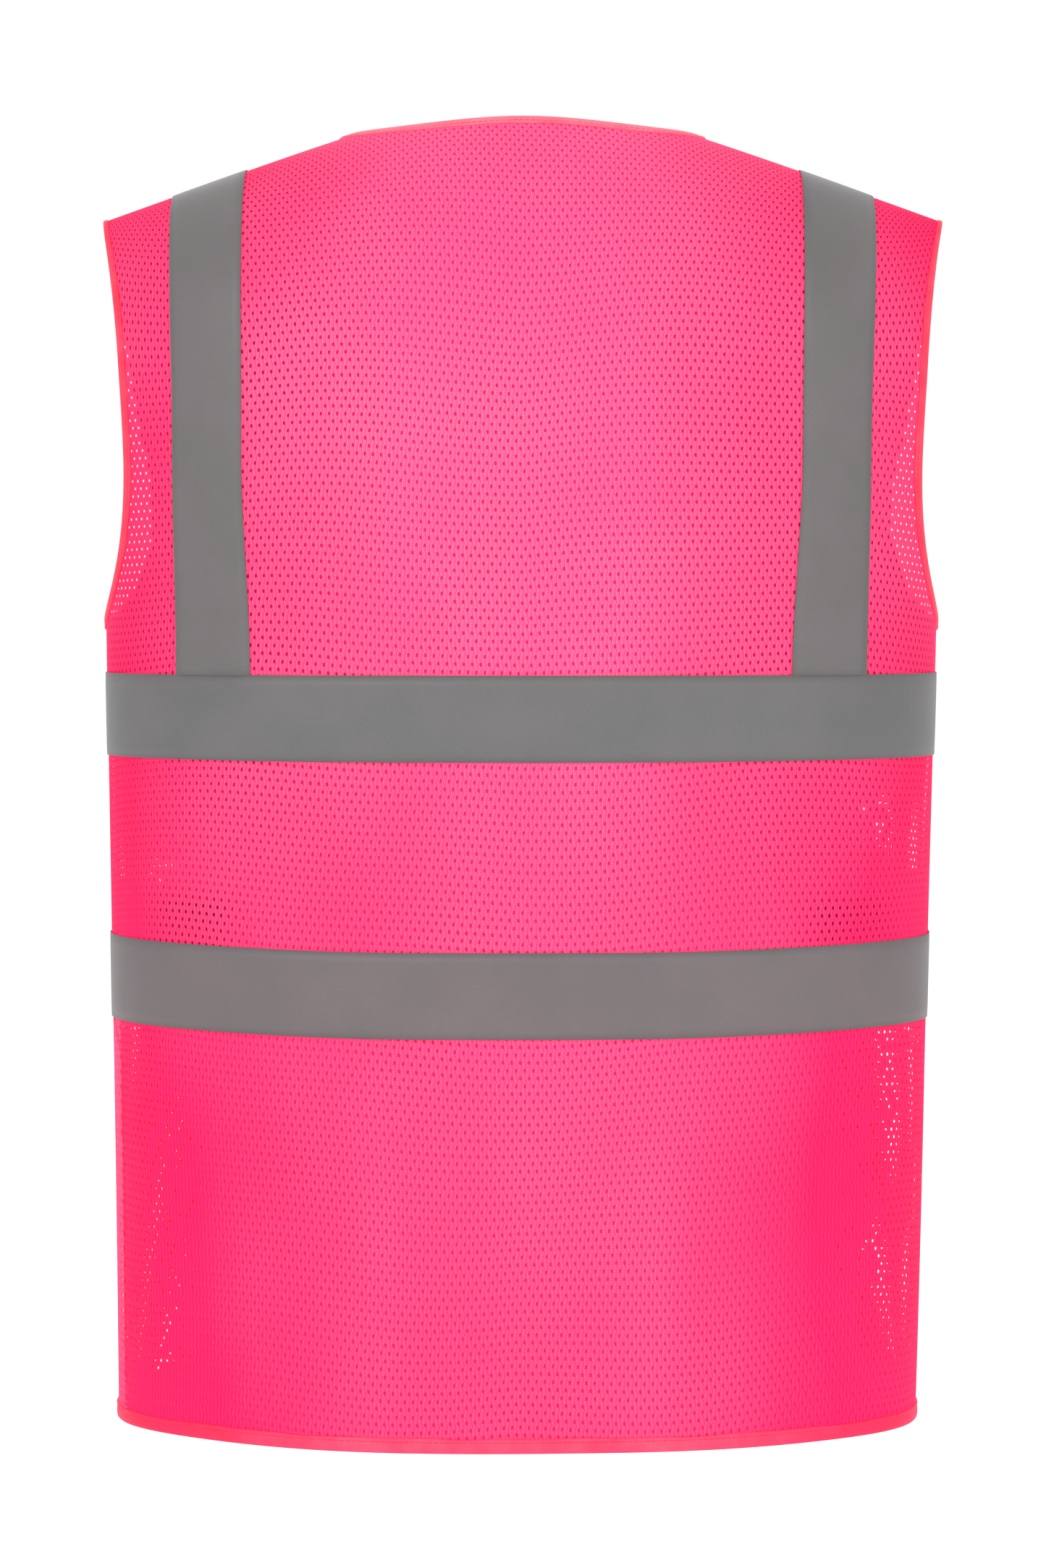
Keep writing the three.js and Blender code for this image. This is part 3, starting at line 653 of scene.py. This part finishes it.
def painted_hole_shade_material():
    """Floor of a closed hole, a sheet of painted shade: deep pink, painted darkest beside the braces and just
    above the lower band.
    """
    n = Nodes("painted_hole_shade")
    s, v = pattern_place(n, n.pattern())
    cloud = n.noise(n.metres(), scale=14.0)
    # Painted shadow beside the braces, and painted shade just above the lower band near the sides.
    by_brace = n.times(n.times(n.between(s, 70, 160), n.between(v, -520, -320)), 0.55)
    above_band = n.times(n.between(v, -450, -464), n.between(v, -500, -486))
    near_side = n.times(n.between(s, 155, 175), n.between(s, 238, 215))
    dark = n.plus(by_brace, n.times(n.times(above_band, near_side), 0.6))
    dark = n.plus(dark, n.times(cloud, 0.5), clamp=True)
    n.set(Base_Color=n.colours(dark, *HOLE_SHADE_PINK), Roughness=n.plus(n.times(cloud, 0.1), 0.8),
          Specular_IOR_Level=0.1)
    return n.material


MESH_CLOTH = mesh_cloth_material("mesh_cloth", 1.0)
# A copy of the cloth with less of the painted shade, for the cells past the swung side seam below the bands.
MESH_TURNED = mesh_cloth_material("mesh_cloth_turned", 0.3)
HOLE_SHADE_FLOOR = painted_hole_shade_material()
# One pink binding tape: the neck's colours carry a painted highlight and the armhole's a painted shade.
NECK_BINDING = binding_material("neck_binding", (0.97, 0.060, 0.12), (1.0, 0.135, 0.20), (1.0, 0.22, 0.28))
ARMHOLE_BINDING = binding_material("armhole_binding", (0.93, 0.012, 0.045), (1.0, 0.035, 0.080),
                                   (1.0, 0.08, 0.13))
BINDING = binding_material("binding", (0.93, 0.016, 0.07), (1.0, 0.045, 0.115), (1.0, 0.09, 0.16),
                           painted_side_shade=(1.0, 0.16, 0.55))
THREAD = binding_material("thread", (0.62, 0.004, 0.03), (0.80, 0.012, 0.06), (0.95, 0.04, 0.10))
TAPE = tape_material()
HOOKS = patch_material("hook_tape", (0.85, 0.05, 0.18), pile_scale=900.0, pile_depth=0.0006)
LOOPS = patch_material("loop_tape", (0.90, 0.09, 0.24), pile_scale=1700.0, pile_depth=0.0004)
LABEL = label_material()


# ----- perforated cloth
HEXAGON = np.array([(0, 2), (-1, 1), (-1, -1), (0, -2), (1, -1), (1, 1)])  # in half pitches, third rows


def lift_at(s, lift):
    return lift * (1 - smooth(s, LIFT_TO, LIFT_FROM))


def stretched(points):
    """Where the knit's even grid lies once the cloth has been cut and pulled in wear."""
    s, v = points[..., 0], points[..., 1]
    shift_s = 2.4 * np.sin(v / 88 + 0.7) * np.sin(s / 95) + 1.0 * np.sin(v / 41 + s / 66)
    shift_v = 4.2 * np.sin(np.abs(s) / 62 + v / 260 + 0.4) + 1.2 * np.sin(s / 27 + v / 70)
    return np.stack([s + shift_s, v + shift_v], -1)


def cell_grid(face, side):
    """The cells that lie on a panel: column, row, even centre, and centre once stretched."""
    outline = half_outline(face, CLOTH_INSET)
    i, j = (a.ravel() for a in np.meshgrid(np.arange(*GRID_COLUMNS), np.arange(*GRID_ROWS)))
    centre = np.stack([(i + 0.5 * (j % 2)) * HOLE_PITCH, GRID_BASE + j * ROW_PITCH], 1)
    local = stretched(centre)
    if side == 0:
        local[:, 0] = np.maximum(np.abs(local[:, 0]), 0.01)
    on_side = outline[:, :1] > side_length(outline[:, 1:], face) - 0.1
    keep = inside(local, outline + np.array([(SEAM_MARGIN, 0)]) * on_side)
    near_shoulder = np.abs(local[:, 1] - shoulder_seam(local[:, 0], face)) < SEAM_MARGIN
    keep |= inside(local - np.array([(0, SEAM_MARGIN)]), outline) & near_shoulder
    return i[keep], j[keep], centre[keep], local[keep]


def without_hole(local, face):
    """Marks the cells under a tape, and beside a side or shoulder seam."""
    s, v = local[:, 0], local[:, 1]
    covered = under_brace(local, face)
    for top in (UPPER_BAND_TOP, LOWER_BAND_TOP):
        covered |= (v < top - CLOSED_AT_TAPE) & (v > top - TAPE_WIDTH + CLOSED_AT_TAPE)
    covered |= np.abs(s) > side_length(v, face) - CLOSED_AT_SIDE
    return covered | (v > shoulder_seam(s, face) - CLOSED_AT_SHOULDER)


def perforated(name, face, side, lift):
    """The knitted cloth with its holes. side is 0 for both halves of the back, else +1 or -1."""
    i, j, centre, local = cell_grid(face, side)

    # Corners of the six-sided cells, shared between neighbours.
    key = np.stack([2 * i + j % 2, 3 * j], 1)[:, None, :] + HEXAGON[None]
    unique, number = np.unique(key.reshape(-1, 2), axis=0, return_inverse=True)
    corner = number.reshape(-1, 6)
    corners = np.stack([unique[:, 0] * HOLE_PITCH / 2, GRID_BASE + unique[:, 1] * ROW_PITCH / 3], 1)

    # Rim points of the holes, the widest apart along the cloth's height.
    covered = without_hole(local, face)
    holed = np.flatnonzero(~covered)
    wobble = np.random.default_rng(7).normal(0, RIM_WOBBLE, (len(holed), 6, 2))
    opening = open_share(local[holed], face)
    size = np.where(opening > 0, opening, 1.0)[:, None, None]
    rim_shape = (HEXAGON / np.array(RIM_DIVISOR))[None]
    rim = centre[holed, None, :] + (rim_shape + wobble) * np.array(HOLE_HALF) * size

    even = np.concatenate([corners, rim.reshape(-1, 2)])
    bent = stretched(even)
    limit = side_length(bent[:, 1], face)
    bent[:, 0] = np.clip(bent[:, 0], -limit, limit)
    bent[:, 1] = np.minimum(bent[:, 1], shoulder_seam(bent[:, 0], face))
    level = np.full(len(bent), CLOTH_LEVEL)
    level[len(corners):] = HOLE_LEVEL
    mirror = -1.0 if side < 0 else 1.0
    world = cloth(bent[:, 0] * mirror, bent[:, 1], face, level + lift_at(bent[:, 0], lift))

    # A ring of six faces round each hole, one face for a cell without, and the closed holes' floors, which
    # are sheets of painted shade.
    first = len(corners) + 6 * np.arange(len(holed))
    rings = []
    for k in range(6):
        m = (k + 1) % 6
        rings.append(np.stack([corner[holed, k], corner[holed, m], first + m, first + k], 1))
    plain = np.flatnonzero(covered)
    extent = np.ptp(bent[corner[plain]], axis=1).min(axis=1)
    plain = plain[extent > 0.05]
    floors = first[opening == 0, None] + np.arange(6)
    faces = np.concatenate(rings).tolist() + corner[plain].tolist() + floors.tolist()
    piece = new_mesh(name, world, faces, MESH_CLOTH, even / PATTERN_SPAN + np.array(PATTERN_ORIGIN))

    piece.data.materials.append(HOLE_SHADE_FLOOR)
    piece.data.materials.append(MESH_TURNED)
    past_seam = centre[:, 0] > side_length(local[:, 1], face) - SEAM_SWING
    turned = np.where((side == 0) & past_seam & (local[:, 1] < LOWER_BAND_TOP), TURNED_SLOT, CLOTH_SLOT)
    slots = np.concatenate([np.tile(turned[holed], 6), turned[plain], np.full(len(floors), SHADE_FLOOR_SLOT)])
    piece.data.polygons.foreach_set("material_index", slots.astype(np.int32))
    face_out(piece, face)
    return piece


# Where the back's holes are open right through, in millimetres.
ARMHOLE_ZONE_TOP = -125
ARMHOLE_ZONE = (9, 22)  # its width at the top, and how much wider it is lower down
SIDE_ZONE = (55, 125)  # from the side seam: all holes are open up to the first, none past the second
HEM_ZONE = (20, 55)  # over the hem, the same the other way round
BAND_ZONE = (440, 452)  # below this the last rows above the lower band stay closed


def open_share(points, face):
    """Size of the holes that are open right through, and 0 for the back's closed ones."""
    s, v = np.abs(points[:, 0]), points[:, 1]
    if face == "front":
        return np.full(len(points), OPEN_HOLE_SHARE["front"])
    edge = armhole_edge("back")
    order = np.argsort(edge[:, 1])
    narrow, widening = ARMHOLE_ZONE
    reach = narrow + widening * smooth(-v, 130, 260)
    by_armhole = (v > UNDERARM) & (v < ARMHOLE_ZONE_TOP)
    by_armhole &= s > np.interp(v, edge[order, 1], edge[order, 0]) - reach
    chance = 1 - smooth(side_length(v, face) - s, *SIDE_ZONE)
    chance *= (v < UPPER_BAND_TOP) * smooth(v - HEM, *HEM_ZONE)
    chance *= 1 - smooth(-v, *BAND_ZONE) * (v > LOWER_BAND_TOP)
    by_side = np.random.default_rng(3).random(len(points)) < chance
    share = np.where(by_side, OPEN_HOLE_SHARE["side"], 0.0)
    return np.where(by_armhole, OPEN_HOLE_SHARE["armhole"], share)


def face_out(piece, face):
    """Turns an open sheet's faces to the outside of the vest."""
    mesh = piece.data
    n = np.empty(len(mesh.polygons) * 3)
    mesh.polygons.foreach_get("normal", n)
    if (n.reshape(-1, 3)[:, 1] * SIGN[face]).sum() < 0:
        mesh.flip_normals()


# ----- braces
BRACE_ROWS, BRACE_COLUMNS = 60, 9
BRACE_TRIM = 3.4  # off its outer edge, all the way up
BRACE_FOOT_SHIFT = (5, 1.6)  # how far its inner and its outer edge move inwards at the band


def brace_x(t):
    """Inner and outer x of a brace, from the band at t = 0 to the shoulder seam at t = 1."""
    on_shoulder = smooth(t, 0.45, 1)
    on_band = 1 - smooth(t, 0, 0.35)
    shift_inner, shift_outer = BRACE_FOOT_SHIFT
    outer = BRACE_INNER_X + TAPE_WIDTH * math.cos(BRACE_TURN)
    shoulder = BRACE_INNER_X + BRACE_SHOULDER_SHIFT + TAPE_WIDTH / math.hypot(1, SHOULDER_SLOPE)
    inner = BRACE_INNER_X + BRACE_SHOULDER_SHIFT * on_shoulder - shift_inner * on_band
    return inner, mix(outer, shoulder, on_shoulder) - BRACE_TRIM - shift_outer * on_band


def under_brace(points, face):
    """Marks the pattern places well under a brace."""
    x = np.abs(place(points[:, 0], points[:, 1], face)[:, 0])
    inner, outer = brace_x(0.3)
    return (points[:, 1] > UPPER_BAND_TOP - 10) & (x > inner + 6) & (x < outer - 5)


def brace_path(face):
    """Grid of pattern places across a brace, from the band to the shoulder seam."""
    s, v = [], []
    for t in np.linspace(0, 1, BRACE_ROWS):
        across = [mix(*brace_x(t), c) for c in np.linspace(0, 1, BRACE_COLUMNS)]
        tops = [float(shoulder_seam(width_at_x(x, 0, face), face)) for x in across]
        heights = [mix(UPPER_BAND_TOP - 0.5, top, t) for top in tops]
        s.append([width_at_x(x, height, face) for x, height in zip(across, heights)])
        v.append(heights)
    return np.array(s), np.array(v)


EDGE_ROUNDING = 0.12  # how far a strip's outer face drops at its edges


def strip_rings(s, v, face, levels, mirror=1.0, lift=0.0):
    """Rings of a flat strip: its outer face across, then its inner face back."""
    low, high = levels
    raised = lift_at(s, lift)
    across = np.linspace(-1, 1, s.shape[1])
    rounded = np.where(np.abs(across) > 0.99, EDGE_ROUNDING, 0.0)
    top = cloth(s * mirror, v, face, high + raised - rounded)
    bottom = cloth(s * mirror, v, face, low + raised)
    return np.concatenate([top, bottom[:, ::-1]], axis=1)


def make_brace(name, mirror):
    back, front = (strip_rings(*brace_path(face), face, TAPE_LEVELS, mirror) for face in ("back", "front"))
    return sweep(name, np.concatenate([back, front[::-1][1:]]), TAPE)


BAND_COLUMNS = 9
BAND_ROWS = {"back": 150, "front": 80}
BAND_START = -OVERLAP / 2 + BINDING_WIDTH - 2  # just under the edge's binding


def make_band(name, top, face, side, lift):
    """A band across the back (side 0), or across one front from its edge to the side seam."""
    v = np.linspace(top, top - TAPE_WIDTH, BAND_COLUMNS)
    high = side_length(v, face)
    low = -high if side == 0 else np.full(BAND_COLUMNS, BAND_START)
    s = mix(low[None], high[None], np.linspace(0, 1, BAND_ROWS[face])[:, None])
    mirror = -1.0 if side < 0 else 1.0
    rings = strip_rings(s, np.broadcast_to(v, s.shape), face, TAPE_LEVELS, mirror, lift)
    return sweep(name, rings, TAPE)


# ----- bindings
# Cross-section of a folded binding: distance in from the cloth's edge, and height.
FOLDED = [(8.2, 0.75), (8.1, 1.35), (7.5, 1.62), (6.9, 1.45), (6.2, 1.18), (5.4, 1.45), (3.6, 1.66),
          (1.6, 1.62), (0.3, 1.30), (-0.35, 0.75), (-0.35, 0.2), (0.3, -0.35), (1.8, -0.62), (4.5, -0.62),
          (6.2, -0.2), (7.3, -0.58), (8.1, -0.3), (8.2, 0.2)]
STITCH_IN = 6.2
ARMHOLE_SHARE = 0.76  # the armhole's edge turns inwards, so its binding shows narrower
STITCH_PITCH = 3.4
BINDING_STITCH_LEVELS = (1.22, -0.3)  # on the outside and on the inside


def binding_rings(path, face, towards, mirror, lift, seed, share):
    """Rings of a binding folded over an edge that runs along path in the pattern."""
    inward = towards * left_of(path)
    run = running_length(path)
    phase = np.random.default_rng(seed).uniform(0, 6, 4)
    wander = 0.28 * np.sin(run / 17 + phase[0]) + 0.18 * np.sin(run / 7.3 + phase[1])
    pucker = 0.12 * np.sin(run * math.tau / STITCH_PITCH) + 0.10 * np.sin(run / 5.1 + phase[2])
    distance, height = np.array(FOLDED).T[:, None, :]
    inner = np.clip((distance - 4) / 4, 0, 1)
    distance = distance * share + wander[:, None] * inner
    height = height + pucker[:, None] * inner * np.sign(height)
    s = path[:, None, 0] + distance * inward[:, None, 0]
    v = path[:, None, 1] + distance * inward[:, None, 1]
    limit = side_length(v, face)
    s = np.clip(s, -limit, limit)
    v = np.minimum(v, shoulder_seam(s, face))
    return cloth(s * mirror, v, face, height + lift_at(s, lift))


def stitch_line(path, face, mirror, lift, levels):
    """Centres, directions and normals of stitches along a line in the pattern."""
    run = running_length(path)
    at = np.arange(STITCH_PITCH / 2, run[-1], STITCH_PITCH)
    middle, ahead = point_at(path, run, at), point_at(path, run, at + 0.5)
    limit = side_length(middle[:, 1], face)
    good = (np.abs(middle[:, 0]) < limit - 0.5) & (middle[:, 1] < shoulder_seam(middle[:, 0], face) - 0.5)
    middle, ahead = middle[good], ahead[good]
    sets = []
    for level in levels:
        raised = lift_at(middle[:, 0], lift) + level
        centre = cloth(middle[:, 0] * mirror, middle[:, 1], face, raised)
        along = cloth(ahead[:, 0] * mirror, ahead[:, 1], face, raised) - centre
        along /= np.linalg.norm(along, axis=1, keepdims=True)
        sets.append((centre, along, normal(middle[:, 0] * mirror, middle[:, 1], face)))
    return [np.concatenate(parts) for parts in zip(*sets)]


STITCH_RINGS = [(-1.35, 0.05), (-1.1, 0.2), (0, 0.27), (1.1, 0.2), (1.35, 0.05)]  # along, radius
STITCH_SIDES = 5


def make_stitches(name, lines):
    """Rounded stitches, one small closed body each, joined in one object."""
    points, faces = [], []
    for centres, along, up in lines:
        across = np.cross(along, up)
        for k in range(len(centres)):
            faces += tube_faces(len(STITCH_RINGS), STITCH_SIDES, len(points))
            for d, radius in STITCH_RINGS:
                for m in range(STITCH_SIDES):
                    angle = math.tau * m / STITCH_SIDES
                    out = radius * (across[k] * math.cos(angle) + up[k] * math.sin(angle))
                    points.append(centres[k] + (along[k] * d + out) * MM)
    piece = new_mesh(name, points, faces, THREAD)
    outward(piece)
    return piece


def make_binding(name, sections, mirror, seed, material, share=1.0):
    """sections are (path, face, towards, lift), swept one after the other as one binding."""
    rings, lines = [], []
    for path, face, towards, lift in sections:
        part = binding_rings(path, face, towards, mirror, lift, seed, share)
        rings.append(part if not rings else part[1:])
        row = offset(path, towards * STITCH_IN * share)
        lines.append(stitch_line(row, face, mirror, lift, BINDING_STITCH_LEVELS))
    return sweep(name, np.concatenate(rings), material), make_stitches(name + "_stitching", lines)


# ----- small flat pieces
def make_patch(name, s_span, v_span, face, levels, material, mirror, lift):
    grid_s, grid_v = np.meshgrid(np.linspace(*s_span, 13), np.linspace(*v_span, 33))
    return sweep(name, strip_rings(grid_s, grid_v, face, levels, mirror, lift), material)


def rectangle(s_span, v_span, inset):
    s0, s1 = s_span[0] + inset, s_span[1] - inset
    v0, v1 = v_span[0] + inset, v_span[1] - inset
    corners = np.array([(s0, v0), (s1, v0), (s1, v1), (s0, v1), (s0, v0)], float)
    return resample(corners, 2.0)


# ----- the vest
ROOT = "root"
LEFT, RIGHT = "left_front_opening", "right_front_opening"
BANDS = (("upper", UPPER_BAND_TOP), ("lower", LOWER_BAND_TOP))
FOLD_MIDDLE_UP = 0.35  # metres from the hinge's foot to the middle of the fold line
FOLD_MIDDLE_IN = 3.5 * MM  # from the hinge's line to the cloth


def fold_middle(joint):
    """A point on the cloth near the middle of the fold line."""
    axis = np.array(joint["axis"], float)
    axis *= np.sign(axis[2])
    middle = np.array(joint["pos_m"], float) + axis * FOLD_MIDDLE_UP
    middle[1] += FOLD_MIDDLE_IN
    return middle


def fold(piece, side):
    """Bakes the placement of a piece of one front into its mesh. The fold line's middle and a direction are
    worked out but not used, so the piece is not bent.
    """
    joint = next(j for j in frame["joints"] if j["child"] == (LEFT if side > 0 else RIGHT))
    middle = fold_middle(joint)
    towards = np.array([-side * 1.0, -0.5, -0.048])
    towards /= np.linalg.norm(towards)
    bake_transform(piece)


def front_binding(name, path, side, lift, seed, material):
    """The binding of a front's edge with its stitches."""
    edging, threads = make_binding(name, [(path, "front", 1, lift)], side, seed + side, material)
    for piece in (edging, threads):
        fold(piece, side)
    return edging


mesh_back = perforated("back_mesh_cloth", "back", 0, 0.0)
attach(mesh_back, ROOT)
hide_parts("back_panel")

# Closure: hooks under the outer front, loops on the inner one. Levels of the patch and of its stitches.
CLOSURES = {
    1: ("hook", HOOKS, (-1.3, 0.2), (0.75, -1.35)),
    -1: ("loop", LOOPS, (0.8, 2.2), (2.25, 0.2)),
}
PATCH_ACROSS = (BINDING_WIDTH - OVERLAP / 2, OVERLAP / 2 - BINDING_WIDTH)
PATCH_LOWEST = HEM + BINDING_WIDTH + PATCH_MARGIN
PATCH_HIGHEST = LOWER_BAND_TOP - TAPE_WIDTH - PATCH_MARGIN  # of the patches below the bands
PATCH_MIDDLE = (PATCH_LOWEST + PATCH_HIGHEST) / 2
PATCH_SPANS = [
    (UPPER_BAND_TOP + PATCH_MARGIN, NECK_V_END),
    (LOWER_BAND_TOP + PATCH_MARGIN, UPPER_BAND_TOP - TAPE_WIDTH - PATCH_MARGIN),
    (PATCH_MIDDLE + PATCH_SPACING / 2, PATCH_HIGHEST),
    (PATCH_LOWEST, PATCH_MIDDLE - PATCH_SPACING / 2),
]
PATCH_STITCH_IN = 1.8
HEM_START = -OVERLAP / 2 + 5  # a front's hem binding starts inside the edge's binding

for side, word in ((1, "left"), (-1, "right")):
    lift = OUTER_LIFT if side > 0 else 0.0
    opening = LEFT if side > 0 else RIGHT
    cloth_piece = perforated(f"{word}_front_mesh_cloth", "front", side, lift)
    fold(cloth_piece, side)
    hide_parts(f"{word}_front_panel", f"{word}_front_flap")

    brace = make_brace(f"{word}_reflective_brace", side)
    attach(brace, ROOT)
    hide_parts(f"{word}_brace")

    for level, top in BANDS:
        band = make_band(f"{word}_front_{level}_reflective_band", top, "front", side, lift)
        fold(band, side)
        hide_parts(f"{word}_{level}_front_band", f"{word}_{level}_flap_band")

    # Neck and front edge, from the shoulder seam down to the hem, and the hem itself.
    neck = resample(neck_edge())
    upright = np.linspace((-OVERLAP / 2, NECK_V_END), (-OVERLAP / 2, HEM), 300)
    path = resample(np.concatenate([neck, upright[1:]]))
    edging = front_binding(f"{word}_neck_and_front_binding", path, side, lift, 11, NECK_BINDING)
    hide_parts(f"{word}_neck_binding", f"{word}_front_edge_binding")
    hem_path = np.linspace((HEM_START, HEM), (float(side_length(HEM, "front")), HEM), 190)
    edging = front_binding(f"{word}_front_hem_edging", hem_path, side, lift, 21, BINDING)
    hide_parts(f"{word}_front_hem_binding", f"{word}_flap_hem_binding")

    back_arm = resample(armhole_edge("back"))
    front_arm = resample(armhole_edge("front"))[::-1]
    sections = [(back_arm, "back", 1, 0.0), (front_arm, "front", -1, 0.0)]
    edging, threads = make_binding(f"{word}_armhole_edging", sections, side, 31 + side,
                                   ARMHOLE_BINDING, ARMHOLE_SHARE)
    for piece in (edging, threads):
        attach(piece, ROOT)
    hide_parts(f"{word}_armhole_binding")

    closure, pile, levels, stitch_levels = CLOSURES[side]
    for k, span in enumerate(PATCH_SPANS):
        name = f"{closure}_tape_{k + 1}"
        patch = make_patch(name, PATCH_ACROSS, span, "front", levels, pile, side, lift)
        row = rectangle(PATCH_ACROSS, span, PATCH_STITCH_IN)
        threads = make_stitches(f"{name}_stitching", [stitch_line(row, "front", side, lift, stitch_levels)])
        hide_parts(f"{closure}_patch_{k + 1}")
        for piece in (patch, threads):
            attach(piece, opening)

for level, top in BANDS:
    band = make_band(f"back_{level}_reflective_band", top, "back", 0, 0.0)
    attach(band, ROOT)
    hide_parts(f"{level}_back_band")

# Back neck and back hem, each in one run from side to side.
half_neck = resample(back_neck_edge())
whole_neck = np.concatenate([half_neck[::-1] * np.array([-1, 1]), half_neck[1:]])
edging, threads = make_binding("back_neck_edging", [(whole_neck, "back", -1, 0.0)], 1, 41, NECK_BINDING)
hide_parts("back_neck_binding")
hem_side = float(side_length(HEM, "back"))
hem_back = np.linspace((-hem_side, HEM), (hem_side, HEM), 360)
hem_edging, hem_threads = make_binding("back_hem_edging", [(hem_back, "back", 1, 0.0)], 1, 42, BINDING)
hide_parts("back_hem_binding")
for piece in (edging, threads, hem_edging, hem_threads):
    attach(piece, ROOT)

# Side and shoulder seams: a row of stitches on each side of the seam line.
SEAM_STITCH_LEVEL = 0.62
SIDE_STITCH_IN, SHOULDER_STITCH_IN = 1.6, 2.0
SIDE_GAP, SHOULDER_GAP = 9, 8  # from the bound edges to the ends of the rows
seam_lines = []
for side in (1, -1):
    for face in ("back", "front"):
        seam = side_seam(HEM + SIDE_GAP, UNDERARM - SIDE_GAP, face, 200)
        swung = SEAM_SWING * smooth(-seam[:, 1], *SWING_SPAN) if (side, face) == (1, "back") else 0
        seam[:, 0] -= SIDE_STITCH_IN + swung
        seam_lines.append(stitch_line(seam, face, side, 0.0, (SEAM_STITCH_LEVEL,)))
        from_s = width_at_x(NECK_HALF_WIDTH, 0, face) + SHOULDER_GAP
        across = shoulder_points(from_s, width_at_x(SHOULDER_TIP_X, 0, face) - SHOULDER_GAP, face)
        across[:, 1] -= SHOULDER_STITCH_IN
        seam_lines.append(stitch_line(across, face, side, 0.0, (SEAM_STITCH_LEVEL,)))
seams = make_stitches("seam_stitching", seam_lines)
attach(seams, ROOT)

# Labels, blank.
LABEL_LEVELS = (-1.9, -1.5)
NECK_LABEL = ((-15, 15), (-22, 2))  # across, and down from the neck's binding
CARE_LABEL_SIZE = (26, 60)
CARE_LABEL_PLACE = (6, 128)  # in from the side seam, and up from the hem
neck_v = float(back_neck_edge()[0, 1]) - BINDING_WIDTH
neck_span = (NECK_LABEL[0], tuple(neck_v + end for end in NECK_LABEL[1]))
size_label = make_patch("size_label", *neck_span, "back", LABEL_LEVELS, LABEL, 1, 0.0)
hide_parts("neck_label")
care_v = HEM + CARE_LABEL_PLACE[1]
care_s = float(side_length(care_v, "back")) - CARE_LABEL_PLACE[0]
care_span = ((care_s - CARE_LABEL_SIZE[0], care_s), (care_v, care_v + CARE_LABEL_SIZE[1]))
wash_label = make_patch("wash_label", *care_span, "back", LABEL_LEVELS, LABEL, 1, 0.0)
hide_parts("care_label")
for piece in (size_label, wash_label):
    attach(piece, ROOT)


back_outline, front_outline = (half_outline(face, CLOTH_INSET) for face in ("back", "front"))

# ----- stage, lights, camera
FLOOR_Z = -1.25
FLOOR_HALF = 30.0
LIGHT_TARGET = (0, 0, -0.4)


def make_floor():
    n = Nodes("pale_floor")
    n.set(Base_Color=(0.92, 0.92, 0.92, 1), Roughness=0.9, Emission_Color=(1, 1, 1, 1), Emission_Strength=0.2)
    corners = [(-1, -1), (1, -1), (1, 1), (-1, 1)]
    points = [(x * FLOOR_HALF, y * FLOOR_HALF, FLOOR_Z) for x, y in corners]
    floor = new_mesh("floor", points, [(0, 1, 2, 3)], n.material, smooth_shade=False)


def area_light(name, location, size, power):
    data = bpy.data.lights.new(name, "AREA")
    data.shape = "RECTANGLE"
    data.size, data.size_y = size
    data.energy = power
    light = bpy.data.objects.new(name, data)
    light.location = location
    direction = Vector(LIGHT_TARGET) - Vector(location)
    light.rotation_euler = direction.to_track_quat("-Z", "Y").to_euler()
    bpy.context.scene.collection.objects.link(light)


make_floor()
world = bpy.data.worlds.new("studio")
world.use_nodes = True
background = world.node_tree.nodes["Background"]
background.inputs[0].default_value = (1, 1, 1, 1)
background.inputs[1].default_value = 1.0
bpy.context.scene.world = world
area_light("key", (0.9, 2.6, 1.1), (1.6, 1.6), 26)
area_light("fill", (-1.3, 2.4, 0.3), (1.4, 2.0), 12)
area_light("front_fill", (0.2, -3.0, 0.6), (2.0, 2.0), 14)

CAMERA_DISTANCE = 2.9
CAMERA_HEIGHT = -0.266
CAMERA_PITCH = 2.38
FOCAL_SHARE = 3.084  # focal length over the picture's height
camera_data = bpy.data.cameras.new("camera")
camera_data.sensor_fit = "VERTICAL"
camera_data.sensor_height = 24.0
camera_data.lens = FOCAL_SHARE * camera_data.sensor_height
camera = bpy.data.objects.new("camera", camera_data)
camera.location = (0, CAMERA_DISTANCE, CAMERA_HEIGHT)
camera.rotation_euler = (math.radians(90 - CAMERA_PITCH), 0, math.radians(180))
bpy.context.scene.collection.objects.link(camera)
bpy.context.scene.camera = camera
bpy.context.scene.view_settings.view_transform = "Standard"
